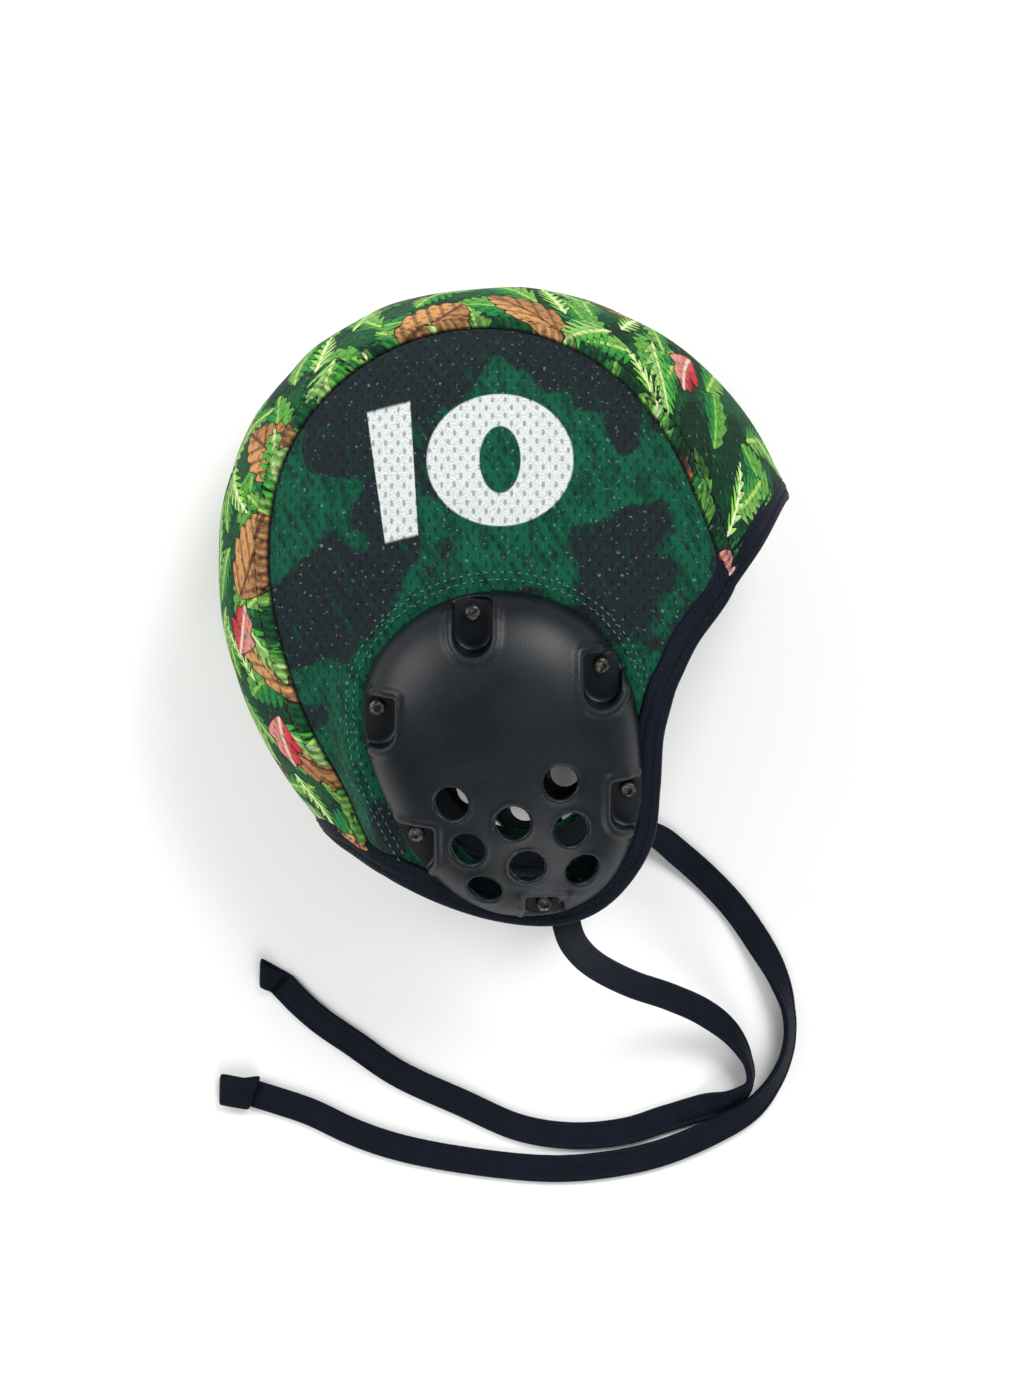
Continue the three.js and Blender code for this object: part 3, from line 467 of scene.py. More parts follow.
def grid_faces(rows: int, columns: int, wrapped: bool, turned: bool = False) -> list:
    """Faces of a grid of vertices numbered row by row.

    Args:
        rows: how many rows of vertices there are.
        columns: how many vertices a row has.
        wrapped: whether the last column joins the first.
        turned: whether the faces point the other way.

    Returns:
        Four vertex numbers for each face.
    """
    faces = []
    for row in range(rows - 1):
        for column in range(columns if wrapped else columns - 1):
            after = (column + 1) % columns
            quad = (row * columns + column, row * columns + after,
                    (row + 1) * columns + after, (row + 1) * columns + column)
            faces.append(quad[::-1] if turned else quad)
    return faces


def pick_only(*chosen: bpy.types.Object) -> None:
    """Deselects everything, then selects the given objects and makes the first active."""
    for item in bpy.context.view_layer.objects:
        item.select_set(False)
    for item in chosen:
        item.select_set(True)
    bpy.context.view_layer.objects.active = chosen[0]


def apply_modifier(piece: bpy.types.Object, kind: str, **settings) -> None:
    """Adds a modifier to a piece and applies it."""
    pick_only(piece)
    made = piece.modifiers.new(kind.lower(), kind)
    for key, value in settings.items():
        setattr(made, key, value)
    bpy.ops.object.modifier_apply(modifier=made.name)


def settle(piece: bpy.types.Object) -> None:
    """Puts a piece's place, turn and size into its mesh."""
    pick_only(piece)
    bpy.ops.object.transform_apply(location=True, rotation=True, scale=True)


def face_out(piece: bpy.types.Object) -> None:
    """Turns all faces of a piece outwards."""
    pick_only(piece)
    bpy.ops.object.mode_set(mode="EDIT")
    bpy.ops.mesh.select_all(action="SELECT")
    bpy.ops.mesh.normals_make_consistent(inside=False)
    bpy.ops.object.mode_set(mode="OBJECT")


def join(parts: list, name: str) -> bpy.types.Object:
    """Joins objects into one of a given name."""
    pick_only(*parts)
    if len(parts) > 1:
        bpy.ops.object.join()
    made = bpy.context.view_layer.objects.active
    made.name = name
    made.data.name = name
    return made


def dress(piece: bpy.types.Object, material: bpy.types.Material) -> None:
    """Gives a piece its finish and ties it to the cap."""
    piece.data.materials.clear()
    piece.data.materials.append(material)
    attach(piece, BODY)
    LOG.info("%s: %d faces", piece.name, len(piece.data.polygons))


# Materials

def tone(code: str) -> tuple[float, float, float, float]:
    """Turns a colour code into shader values."""
    parts = [int(code[start:start + 2], 16) / 255 for start in (1, 3, 5)]
    linear = [part / 12.92 if part <= 0.04045 else ((part + 0.055) / 1.055) ** 2.4 for part in parts]
    return (*linear, 1.0)


def math_node(operation: str, turned: bool = False) -> Callable[..., "Value"]:
    """Makes a method that adds one Math node.

    Args:
        operation: what the node does.
        turned: whether the other number comes first.

    Returns:
        The method. The other number may be left out where only one is needed.
    """

    def method(self: "Value", other: object = 0.0) -> "Value":
        """Adds the node."""
        first, second = (other, self) if turned else (self, other)
        return self.graph.node("ShaderNodeMath", {"operation": operation}, {0: first, 1: second})

    return method


@dataclass
class Value:
    """A shader socket on which plain sums add Math nodes."""

    graph: "Graph"
    socket: bpy.types.NodeSocket

    __add__ = math_node("ADD")
    __radd__ = math_node("ADD", turned=True)
    __sub__ = math_node("SUBTRACT")
    __rsub__ = math_node("SUBTRACT", turned=True)
    __mul__ = math_node("MULTIPLY")
    __rmul__ = math_node("MULTIPLY", turned=True)
    __truediv__ = math_node("DIVIDE")
    __pow__ = math_node("POWER")
    __abs__ = math_node("ABSOLUTE")
    cell = math_node("FLOOR")
    rest = math_node("FRACT")
    sine = math_node("SINE")
    cosine = math_node("COSINE")
    least = math_node("MINIMUM")
    most = math_node("MAXIMUM")

    def eased(self, low: float, high: float) -> "Value":
        """Goes smoothly from 0 at low to 1 at high, or the other way where low is the higher."""
        flip = low > high
        limits = (high, low) if flip else (low, high)
        values = {0: self, 1: limits[0], 2: limits[1], 3: float(flip), 4: float(not flip)}
        return self.graph.node("ShaderNodeMapRange", {"interpolation_type": "SMOOTHSTEP"}, values)


class Graph:
    """One material and the nodes that dress it."""

    def __init__(self, name: str, roughness: float, **constants: float) -> None:
        """Starts a material.

        Args:
            name: the finish's name.
            roughness: how dull it is.
            constants: values set on the shader's own sockets, with _ for a space.
        """
        self.material = bpy.data.materials.new(name)
        self.material.use_nodes = True
        self.tree = self.material.node_tree
        self.shader = self.tree.nodes["Principled BSDF"]
        self.shader.inputs["Roughness"].default_value = roughness
        for key, value in constants.items():
            self.shader.inputs[key.replace("_", " ")].default_value = value

    def node(self, kind: str, settings: dict, values: dict, out: int = 0) -> Value:
        """Adds a node.

        Args:
            kind: the node's type.
            settings: what is set on the node first; stops fills a colour ramp.
            values: a number, colour or value for each socket.
            out: which output is wanted.

        Returns:
            The wanted output.
        """
        made = self.tree.nodes.new(kind)
        for key, setting in settings.items():
            if key == "stops":
                self.fill_ramp(made.color_ramp, setting)
            else:
                setattr(made, key, setting)
        for key, value in values.items():
            if isinstance(value, Value):
                self.tree.links.new(value.socket, made.inputs[key])
            else:
                made.inputs[key].default_value = value
        return Value(self, made.outputs[out])

    def fill_ramp(self, ramp: bpy.types.ColorRamp, stops: list) -> None:
        """Gives a ramp its stops, each a place and a colour."""
        while len(ramp.elements) < len(stops):
            ramp.elements.new(1.0)
        for element, (place, colour) in zip(ramp.elements, stops):
            element.position = place
            element.color = colour

    def object_place(self) -> Value:
        """The place on the object, in metres."""
        return self.node("ShaderNodeTexCoord", {}, {}, out=3)

    def flat_place(self, name: str = "flat") -> Value:
        """The place on a flat map of the cloth, in metres."""
        return self.node("ShaderNodeUVMap", {"uv_map": name}, {})

    def parts(self, vector: Value) -> tuple[Value, Value, Value]:
        """Splits a vector into its three numbers."""
        made = self.node("ShaderNodeSeparateXYZ", {}, {0: vector})
        return tuple(Value(self, output) for output in made.socket.node.outputs)

    def vector(self, x: object, y: object, z: object = 0.0) -> Value:
        """Joins three numbers into a vector."""
        return self.node("ShaderNodeCombineXYZ", {}, {0: x, 1: y, 2: z})

    def noise(self, place: Value, size: float, detail: float = 2.0, roughness: float = 0.5) -> Value:
        """Soft noise around a half, with humps a given number of metres apart."""
        values = {"Vector": place, "Scale": 1.0 / size, "Detail": detail, "Roughness": roughness}
        return self.node("ShaderNodeTexNoise", {}, values)

    def chance(self, place: Value, out: int = 0) -> Value:
        """A random number for a whole place."""
        return self.node("ShaderNodeTexWhiteNoise", {}, {0: place}, out=out)

    def mix(self, share: object, first: object, second: object) -> Value:
        """Mixes two colours."""
        return self.node("ShaderNodeMix", {"data_type": "RGBA"}, {0: share, 6: first, 7: second}, out=2)

    def colour(self, value: Value) -> None:
        """Feeds the base colour."""
        self.tree.links.new(value.socket, self.shader.inputs["Base Color"])

    def dullness(self, value: Value) -> None:
        """Feeds the roughness."""
        self.tree.links.new(value.socket, self.shader.inputs["Roughness"])

    def relief(self, height: Value, depth: float) -> None:
        """Feeds the surface's small relief, with its depth in metres."""
        bump = self.node("ShaderNodeBump", {}, {"Strength": 1.0, "Distance": depth, "Height": height})
        self.tree.links.new(bump.socket, self.shader.inputs["Normal"])


@dataclass(frozen=True)
class MeshCloth:
    """What all printed cloth of the cap shares: a knit with a lattice of small oval holes, painted dark as
    the shade seen through them.
    """

    pitch_along: float = 0.0044
    pitch_up: float = 0.0062
    hole_along: float = 0.00052
    hole_up: float = 0.00102
    knit: float = 0.0005
    grain_size: float = 0.0007
    speck_size: float = 0.0016
    speck_share: float = 0.28
    grain_share: float = 0.5
    hole_shade_share: float = 0.46
    relief_depth: float = 0.00035
    speck_colour: str = "#a9c4b4"
    grain_colour: str = "#04120c"
    hole_shade_colour: str = "#030a08"

    def holes(self, u: Value, v: Value) -> Value:
        """Gives 1 in a hole and 0 between holes.

        Args:
            u: metres across the cloth.
            v: metres up the cloth.

        Returns:
            The mask of the holes.
        """
        reach = None
        for shift in (0.0, 0.5):
            across = ((u / self.pitch_along + shift).rest() - 0.5) * (self.pitch_along / self.hole_along)
            up = ((v / self.pitch_up + shift).rest() - 0.5) * (self.pitch_up / self.hole_up)
            away = across * across + up * up
            reach = away if reach is None else reach.least(away)
        return reach.eased(1.5, 0.55)

    def finish(self, graph: Graph, printed: Value, u: Value, v: Value, flat: Value,
               crease: Value | float = 0.0) -> None:
        """Lays holes, knit and grain over a printed colour, with a crease's height if it has one. The holes
        get painted shade, a dark colour for the shaded inside seen through each opening.
        """
        holes = self.holes(u, v)
        grain = graph.noise(flat, self.grain_size, 3.0, 0.7)
        speck = graph.noise(flat, self.speck_size, 1.0).eased(0.66, 0.74)
        shade = graph.mix(speck * self.speck_share, printed, tone(self.speck_colour))
        shade = graph.mix(grain.eased(0.62, 0.25) * self.grain_share, shade, tone(self.grain_colour))
        # the holes are painted shade: a dark colour for the shaded inside seen through each opening
        graph.colour(graph.mix(holes * self.hole_shade_share, shade, tone(self.hole_shade_colour)))
        knit = (u * (2 * math.pi / self.knit)).sine() * (v * (2 * math.pi / self.knit)).sine()
        graph.relief(knit * 0.1 + grain * 0.5 - holes * 0.7 + crease, self.relief_depth)


@dataclass(frozen=True)
class SidePrint:
    """Print of a side panel: soft patches of green and charcoal, and a plain number ten."""

    side: Side
    cloth: MeshCloth = MeshCloth()
    green: str = "#0a543c"
    deep_green: str = "#083a2b"
    charcoal: str = "#1a1f27"
    white: str = "#d3d8d6"
    left_shift: float = 0.027
    one_tilt: float = math.radians(6.0)
    one_back: float = 0.0385
    one_up: float = 0.0465
    one_half_width: float = 0.0068
    one_half_height: float = 0.0236
    one_taper: float = 0.04
    one_slant: float = 0.14
    zero_back: float = 0.0018
    zero_up: float = 0.0509
    zero_half: tuple[float, float] = (0.0255, 0.0232)
    core_half: tuple[float, float] = (0.0072, 0.0118)

    def figures(self, graph: Graph) -> Value:
        """Gives 1 on the number's two figures."""
        x, y, _ = graph.parts(graph.object_place())
        x = x - float(ORIGIN[0])
        y = y - float(ORIGIN[1])
        if self.side is Side.LEFT:
            x = x * -1.0 - self.left_shift
        sine, cosine = math.sin(self.one_tilt), math.cos(self.one_tilt)
        dx, dy = x + self.one_back, y - self.one_up
        across = abs(dx * cosine + dy * sine) / (dy * self.one_taper + self.one_half_width)
        up = abs(dy * cosine - dx * sine - dx * self.one_slant) / self.one_half_height
        one = across.most(up).eased(1.03, 0.97)
        wide, tall = (x + self.zero_back) / self.zero_half[0], (y - self.zero_up) / self.zero_half[1]
        ring = (wide * wide + tall * tall).eased(1.03, 0.97)
        core_wide = (x + self.zero_back) / self.core_half[0]
        core_tall = (y - self.zero_up) / self.core_half[1]
        core = (core_wide * core_wide + core_tall * core_tall).eased(0.93, 1.07)
        return one.most(ring * core)

    def make(self) -> bpy.types.Material:
        """Builds the material."""
        graph = Graph(f"side_print_{self.side.label}", 0.85, Sheen_Weight=0.04, Specular_IOR_Level=0.12)
        flat = graph.flat_place()
        u, v, _ = graph.parts(flat)
        sweep = graph.noise(flat, 0.05, 2.0)
        bent = graph.vector(u + sweep * 0.05, v + sweep * 0.07, float(self.side.value) + 3.1)
        patches = graph.noise(bent, 0.05, 2.0, 0.5)
        strokes = graph.noise(graph.vector(u * 2.6 + v * 1.2, v * 0.8 - u * 0.5), 0.011, 4.0, 0.65)
        dark = (patches + (strokes - 0.5) * 0.2).eased(0.495, 0.52)
        green = graph.mix(strokes.eased(0.38, 0.56), tone(self.deep_green), tone(self.green))
        night = graph.mix(strokes.eased(0.57, 0.66) * 0.75, tone(self.charcoal), tone(self.deep_green))
        printed = graph.mix(dark * 0.95, green, night)
        printed = graph.mix(self.figures(graph), printed, tone(self.white))
        self.cloth.finish(graph, printed, u, v, flat)
        return graph.material


@dataclass(frozen=True)
class LeafLayer:
    """One scattering of printed leaves over the cloth."""

    seed: float
    pitch: float
    length: float
    width: float
    leaflets: float
    body: str
    rib: str
    kept: float
    comb: float = 0.2
    line: str = "#081a10"
    bend: float = 6.0
    spin: float = 5.2
    row_shift: float = 0.37
    roundness: float = 0.7
    tooth_slant: float = 1.1
    least_size: float = 0.65
    more_size: float = 0.35
    vein_share: float = 0.55
    light_slope: float = 90.0
    light_share: float = 0.4
    rib_share: float = 0.85
    vein_edges: tuple[float, float] = (-0.35, -0.85)
    rib_edges: tuple[float, float] = (0.0009, 0.0004)
    line_edges: tuple[float, float] = (0.0003, 0.0008)
    outer_edges: tuple[float, float] = (-0.0003, 0.0001)
    tip_edges: tuple[float, float] = (0.05, 0.15)

    def lay(self, graph: Graph, under: Value, u: Value, v: Value) -> Value:
        """Lays the leaves over a colour.

        Args:
            graph: the material's nodes.
            under: the colour below the leaves.
            u: metres across the cloth.
            v: metres along it.

        Returns:
            The colour with the leaves.
        """
        across, up = u / self.pitch + self.seed, v / self.pitch + self.seed * self.row_shift
        draw = graph.chance(graph.vector(across.cell(), up.cell(), self.seed), out=1)
        spin, size, kept = graph.parts(draw)
        x, y = (across.rest() - 0.5) * self.pitch, (up.rest() - 0.5) * self.pitch
        angle = spin * self.spin + self.seed
        along = x * angle.cosine() + y * angle.sine()
        over = y * angle.cosine() - x * angle.sine() + (along * along) * self.bend
        share = along / self.length + 0.5
        bulge = (share.most(0.0).least(1.0) * math.pi).sine() ** self.roundness
        teeth = ((along - abs(over) * self.tooth_slant) * (2 * math.pi / self.leaflets)).sine()
        grown = size * self.more_size + self.least_size
        edge = bulge * grown * (teeth * self.comb + (1 - self.comb)) * self.width
        inside = edge - abs(over) - kept.eased(self.kept, self.kept + 0.01)
        vein = teeth.eased(*self.vein_edges) * self.vein_share
        body = graph.mix(vein, tone(self.body), tone(self.line))
        light = (over * self.light_slope + 0.5).eased(0.1, 0.9) * self.light_share
        body = graph.mix(light, body, tone(self.rib))
        rib = abs(over).eased(*self.rib_edges) * self.rib_share
        body = graph.mix(rib, body, tone(self.rib))
        drawn = graph.mix(inside.eased(*self.line_edges), tone(self.line), body)
        shown = inside.eased(*self.outer_edges) * bulge.eased(*self.tip_edges)
        return graph.mix(shown, under, drawn)


@dataclass(frozen=True)
class CentrePrint:
    """Print of the centre panel: plain tropical foliage with a few dry leaves and red blooms, with painted
    shade in the gathers, the stitched groove and the fold along each seam.
    """

    cloth: MeshCloth = MeshCloth()
    layers: tuple[LeafLayer, ...] = (
        LeafLayer(0.31, 0.031, 0.030, 0.0105, 0.0052, "#1f8540", "#8fd04f", 0.97, 0.12),
        LeafLayer(4.77, 0.027, 0.026, 0.0085, 0.0040, "#2f9140", "#b4df6a", 0.92, 0.2),
        LeafLayer(8.41, 0.038, 0.036, 0.0125, 0.0070, "#d39a62", "#5b3320", 0.62, 0.08, "#3a1f12"),
        LeafLayer(2.17, 0.034, 0.032, 0.0095, 0.0045, "#43ab3c", "#d9ee9a", 0.75, 0.28),
        LeafLayer(5.63, 0.029, 0.026, 0.0060, 0.0036, "#86d43f", "#f1f7c4", 0.55, 0.35),
        LeafLayer(9.72, 0.041, 0.023, 0.0085, 0.0100, "#cf2f3c", "#f6d9c4", 0.42, 0.16, "#3d0d14"),
    )
    ground: tuple[str, str] = ("#0a3520", "#15562f")
    shade_colour: str = "#101c18"
    gather_shade_colour: str = "#06180f"
    seam_shade_colour: str = "#030806"
    gather_pitch: float = 0.0029
    gather_sway: float = 9.0
    seam_place: float = 0.005

    def make(self) -> bpy.types.Material:
        """Builds the material."""
        graph = Graph("centre_print", 0.85, Sheen_Weight=0.04, Specular_IOR_Level=0.12)
        flat = graph.flat_place()
        u, v, _ = graph.parts(flat)
        ground = graph.noise(flat, 0.02, 3.0, 0.6)
        printed = graph.mix(ground.eased(0.4, 0.6), *map(tone, self.ground))
        for layer in self.layers:
            printed = layer.lay(graph, printed, u, v)
        night = graph.noise(flat, 0.05, 2.0).eased(0.6, 0.63)
        printed = graph.mix(night * 0.75, printed, tone(self.shade_colour))
        short, along, _ = graph.parts(graph.flat_place("from_seam"))
        wave = graph.noise(graph.vector(along, 0.0, 0.0), 0.009, 2.0)
        gather = (along * (2 * math.pi / self.gather_pitch) + wave * self.gather_sway).sine()
        band = short.eased(0.0085, 0.0045)
        # painted shade in the troughs of the small gathers along each seam
        gather_shade_mask = band * gather.eased(-0.2, 0.9)
        printed = graph.mix(gather_shade_mask * 0.5, printed, tone(self.gather_shade_colour))
        # painted shade: a dark line in the stitched groove and another at the seam's fold
        sewn = abs(short - self.seam_place).eased(0.0008, 0.0003)
        fold_shade_mask = short.eased(0.0011, 0.0005)
        printed = graph.mix(sewn.most(fold_shade_mask) * 0.85, printed, tone(self.seam_shade_colour))
        self.cloth.finish(graph, printed, u, v, flat, band * gather * 1.6 - sewn * 2.0)
        return graph.material


@dataclass(frozen=True)
class TapeFinish:
    """Navy-black woven tape with fine ribs across it."""

    name: str = "woven_tape"
    base: str = "#030a15"
    light: str = "#0e1c30"
    lint_colour: str = "#4a505a"
    rib: float = 0.0007
    relief_depth: float = 0.00018

    def make(self) -> bpy.types.Material:
        """Builds the material."""
        graph = Graph(self.name, 0.62, Sheen_Weight=0.02, Sheen_Roughness=0.4, Specular_IOR_Level=0.12)
        flat = graph.flat_place()
        u, v, _ = graph.parts(flat)
        ribs = (u * (2 * math.pi / self.rib)).sine() * 0.5 + 0.5
        warp = (v * (2 * math.pi / (self.rib * 1.6))).sine() * 0.5 + 0.5
        wear = graph.noise(flat, 0.009, 3.0, 0.6)
        lint = graph.noise(flat, 0.0009, 2.0).eased(0.68, 0.76)
        shade = graph.mix(ribs * wear.eased(0.35, 0.75) * 0.7, tone(self.base), tone(self.light))
        graph.colour(graph.mix(lint * 0.3, shade, tone(self.lint_colour)))
        graph.dullness(wear * 0.25 + 0.5)
        graph.relief(ribs * 0.6 + warp * 0.3 + wear * 0.5, self.relief_depth)
        return graph.material


@dataclass(frozen=True)
class ThreadFinish:
    """Sewing thread, twisted from two strands."""

    name: str
    colour: str
    shade: str = "#0d1512"
    fibre_size: float = 0.0004
    relief_depth: float = 0.00008

    def make(self) -> bpy.types.Material:
        """Builds the material."""
        graph = Graph(self.name, 0.7, Specular_IOR_Level=0.15)
        place = graph.object_place()
        fibre = graph.noise(place, self.fibre_size, 2.0)
        graph.colour(graph.mix(fibre.eased(0.3, 0.7) * 0.5, tone(self.colour), tone(self.shade)))
        graph.relief(fibre, self.relief_depth)
        return graph.material


@dataclass(frozen=True)
class MouldedPlastic:
    """Satin blue-black plastic with a fine moulded grain and lighter rubbed patches that fall at random."""

    name: str = "moulded_plastic"
    base: str = "#050b10"
    rubbed: str = "#0e171e"
    speck_colour: str = "#20262b"
    relief_depth: float = 0.00004

    def make(self) -> bpy.types.Material:
        """Builds the material."""
        graph = Graph(self.name, 0.42, Specular_IOR_Level=0.3)
        place = graph.object_place()
        cloud = graph.noise(place, 0.021, 3.0, 0.6)
        grain = graph.noise(place, 0.0006, 2.0)
        speck = graph.noise(place, 0.0021, 2.0, 0.7).eased(0.7, 0.78)
        shade = graph.mix(cloud.eased(0.35, 0.7) * 0.7, tone(self.base), tone(self.rubbed))
        graph.colour(graph.mix(speck * 0.3, shade, tone(self.speck_colour)))
        graph.dullness(cloud * 0.14 + grain * 0.08 + 0.3)
        graph.relief(grain + speck * 0.5, self.relief_depth)
        return graph.material


@dataclass(frozen=True)
class DullSteel:
    """Steel with a worn dark finish."""

    name: str = "dull_steel"
    dark: str = "#2c2b2a"
    bright: str = "#6f6a63"
    relief_depth: float = 0.00003

    def make(self) -> bpy.types.Material:
        """Builds the material."""
        graph = Graph(self.name, 0.45, Metallic=0.85)
        place = graph.object_place()
        wear = graph.noise(place, 0.0016, 3.0, 0.7)
        graph.colour(graph.mix(wear.eased(0.4, 0.62), tone(self.dark), tone(self.bright)))
        graph.dullness(wear * 0.3 + 0.3)
        graph.relief(graph.noise(place, 0.0003, 2.0), self.relief_depth)
        return graph.material


@dataclass
class Wardrobe:
    """All finishes of the cap, each made once."""

    tape: bpy.types.Material = field(default_factory=lambda: TapeFinish().make())
    plastic: bpy.types.Material = field(default_factory=lambda: MouldedPlastic().make())
    steel: bpy.types.Material = field(default_factory=lambda: DullSteel().make())
    centre: bpy.types.Material = field(default_factory=lambda: CentrePrint().make())
    pale_thread: bpy.types.Material = field(
        default_factory=lambda: ThreadFinish("pale_thread", "#66877a").make())
    black_thread: bpy.types.Material = field(
        default_factory=lambda: ThreadFinish("black_thread", "#1a2434").make())


# Cloth, stitches and binding

@dataclass
class Stitches:
    """A run of sewn stitches that lie on cloth or tape."""

    name: str
    length: float = 0.0021
    pitch: float = 0.0031
    radius: float = 0.00028

    def make(self, lines: list) -> bpy.types.Object:
        """Lays stitches along lines.

        Args:
            lines: pairs of places along a line and the way out of the cloth at each.

        Returns:
            One object with all the stitches.
        """
        bend = np.linspace(-1, 1, 5)
        ring = np.linspace(0, 2 * math.pi, 7)[:-1]
        points, faces = [], []
        for line, normals in lines:
            length = run_lengths(line)
            for middle in np.arange(self.pitch, length[-1] - self.pitch, self.pitch):
                centre = np.array([np.interp(middle, length, line[:, axis]) for axis in range(3)])
                ahead = np.array([np.interp(middle + 0.0005, length, line[:, axis]) for axis in range(3)])
                index = min(int(np.searchsorted(length, middle)), len(line) - 1)
                along, normal = unit(ahead - centre), normals[index]
                across = unit(np.cross(along, normal))
                start = len(points)
                for share in bend:
                    girth = self.radius * math.sqrt(max(1.05 - share**2, 0.05))
                    lift = normal * self.radius * (0.6 - share**2)
                    spot = centre + along * share * self.length / 2 + lift
                    points.extend(spot + across * math.cos(a) * girth + normal * math.sin(a) * girth
                                  for a in ring)
                sides = len(ring)
                for row, column, after, other in (
                    (row, column, (column + 1) % sides, row + 1)
                    for row in range(len(bend) - 1) for column in range(sides)
                ):
                    faces.append((start + row * sides + column, start + row * sides + after,
                                  start + other * sides + after, start + other * sides + column))
                last = start + (len(bend) - 1) * sides
                faces.append(tuple(start + column for column in reversed(range(sides))))
                faces.append(tuple(last + column for column in range(sides)))
        return make_mesh(self.name, np.array(points), faces)


@dataclass
class SidePanel:
    """A printed side panel with its ear hole, sunk a little along its seam and softly rippled away from it.
    """

    form: CapForm
    rim: Rim
    side: Side
    seam_steps: int = 170
    rows: int = 84
    thickness: float = 0.0014
    seam_dip: float = 0.0008
    seam_reach: float = 0.0016
    strip_share: float = 0.75
    row_power: float = 0.85
    ripples: tuple[tuple[int, float, float], ...] = ((3, 0.034, 0.0005), (4, 0.012, 0.00012))
    calm_seam: float = 0.02
    calm_hole: float = 0.016
    calm_width: float = 0.015
    guard_arc: tuple[float, float] = (-12, 232)
    sewn: tuple[float, float] = (0.0036, 0.0062)

    def upright(self, place: np.ndarray) -> tuple[np.ndarray, np.ndarray]:
        """Undoes the fold of the left flap, to find laid places on the upright cap."""
        x, y = place[:, 0] - ORIGIN[0], place[:, 1] - ORIGIN[1]
        if self.side is Side.RIGHT:
            return x, y
        wanted = y.copy()
        for _ in range(14):
            laid = self.form.side_point(x, y, self.side)
            y = y + (wanted - (laid[:, 1] - ORIGIN[1])) * 0.7
        return x, y

    def border(self) -> tuple[np.ndarray, np.ndarray]:
        """The panel's edge, and 1 where the edge is the seam."""
        strip = self.rim.inside(self.form.strip_inset * self.strip_share)[self.rim.of_side(self.side)]
        share = np.linspace(0, 1, self.seam_steps + 2)[1:-1]
        face, nape = self.form.strip_angles(np.array(float(self.side.value)))
        angle = face + (nape - face) * share
        seam = self.form.centre_point(angle, np.full_like(angle, self.side.value))
        if self.side is Side.LEFT:
            strip = strip[::-1]
        on_seam = np.concatenate([np.zeros(len(strip)), np.ones(len(seam))])
        return np.concatenate([strip, seam]), on_seam

    def make(self) -> bpy.types.Object:
        """Builds the panel, with a flat map in metres."""
        edge_place, on_seam = self.border()
        x, y = self.upright(edge_place)
        up = (y - self.form.guard_y) / math.cos(self.form.guard_tilt)
        angle, edge = np.arctan2(up, x), np.hypot(x, up)
        hole = self.form.guard_radius(np.degrees(angle)) - self.form.ear_hole_inset
        share = np.linspace(0, 1, self.rows)[:, None] ** self.row_power
        reach = hole + (edge - hole) * share
        flat_x = np.cos(angle) * reach
        flat_y = self.form.guard_y + np.sin(angle) * reach * math.cos(self.form.guard_tilt)
        surface = self.form.side_point(flat_x, flat_y, self.side)
        normal = self.form.side_normal(flat_x, flat_y, self.side)
        slip = edge_place - surface[-1]
        surface = surface + slip * smooth((share - 0.55) / 0.45)[..., None]
        length = run_lengths(surface)
        short = length[-1] - length
        dip = on_seam * self.seam_dip * smooth((self.seam_reach - short) / self.seam_reach)
        ripple = sum(wander(seed, surface, size) * height for seed, size, height in self.ripples)
        calm = smooth(short / self.calm_seam) * smooth((length - self.calm_hole) / self.calm_width)
        off_floor = smooth(surface[..., 2] / FLOOR_EASE)
        surface = surface + normal * ((ripple * calm * off_floor) - dip)[..., None]
        spread = hole + length
        flat = np.stack([np.cos(angle) * spread * self.side.value, np.sin(angle) * spread], axis=-1)
        columns = len(x)
        turned = self.side is Side.RIGHT
        piece = make_mesh(f"side_cloth_{self.side.label}", surface.reshape(-1, 3),
                          grid_faces(self.rows, columns, True, turned), flat.reshape(-1, 2))
        apply_modifier(piece, "SOLIDIFY", thickness=self.thickness, offset=-1.0)
        return piece

    def guard_line(self, off: float) -> tuple[np.ndarray, np.ndarray]:
        """A line on the cloth at a distance outside the guard, and the way out along it."""
        angle = np.radians(np.linspace(*self.guard_arc, 260))
        reach = self.form.guard_radius(np.degrees(angle)) + off
        x = np.cos(angle) * reach
        y = self.form.guard_y + np.sin(angle) * reach * math.cos(self.form.guard_tilt)
        return self.form.side_point(x, y, self.side), self.form.side_normal(x, y, self.side)


@dataclass(frozen=True)
class Gather:
    """Small even folds along a seam, whose pitch sways a little."""

    pitch: float
    sway_pitch: float
    sway: float

    def read(self, along: np.ndarray) -> np.ndarray:
        """Height of the folds from -1 to 1, at lengths along the seam."""
        return np.sin(along / self.pitch * 2 * math.pi + np.sin(along / self.sway_pitch) * self.sway)


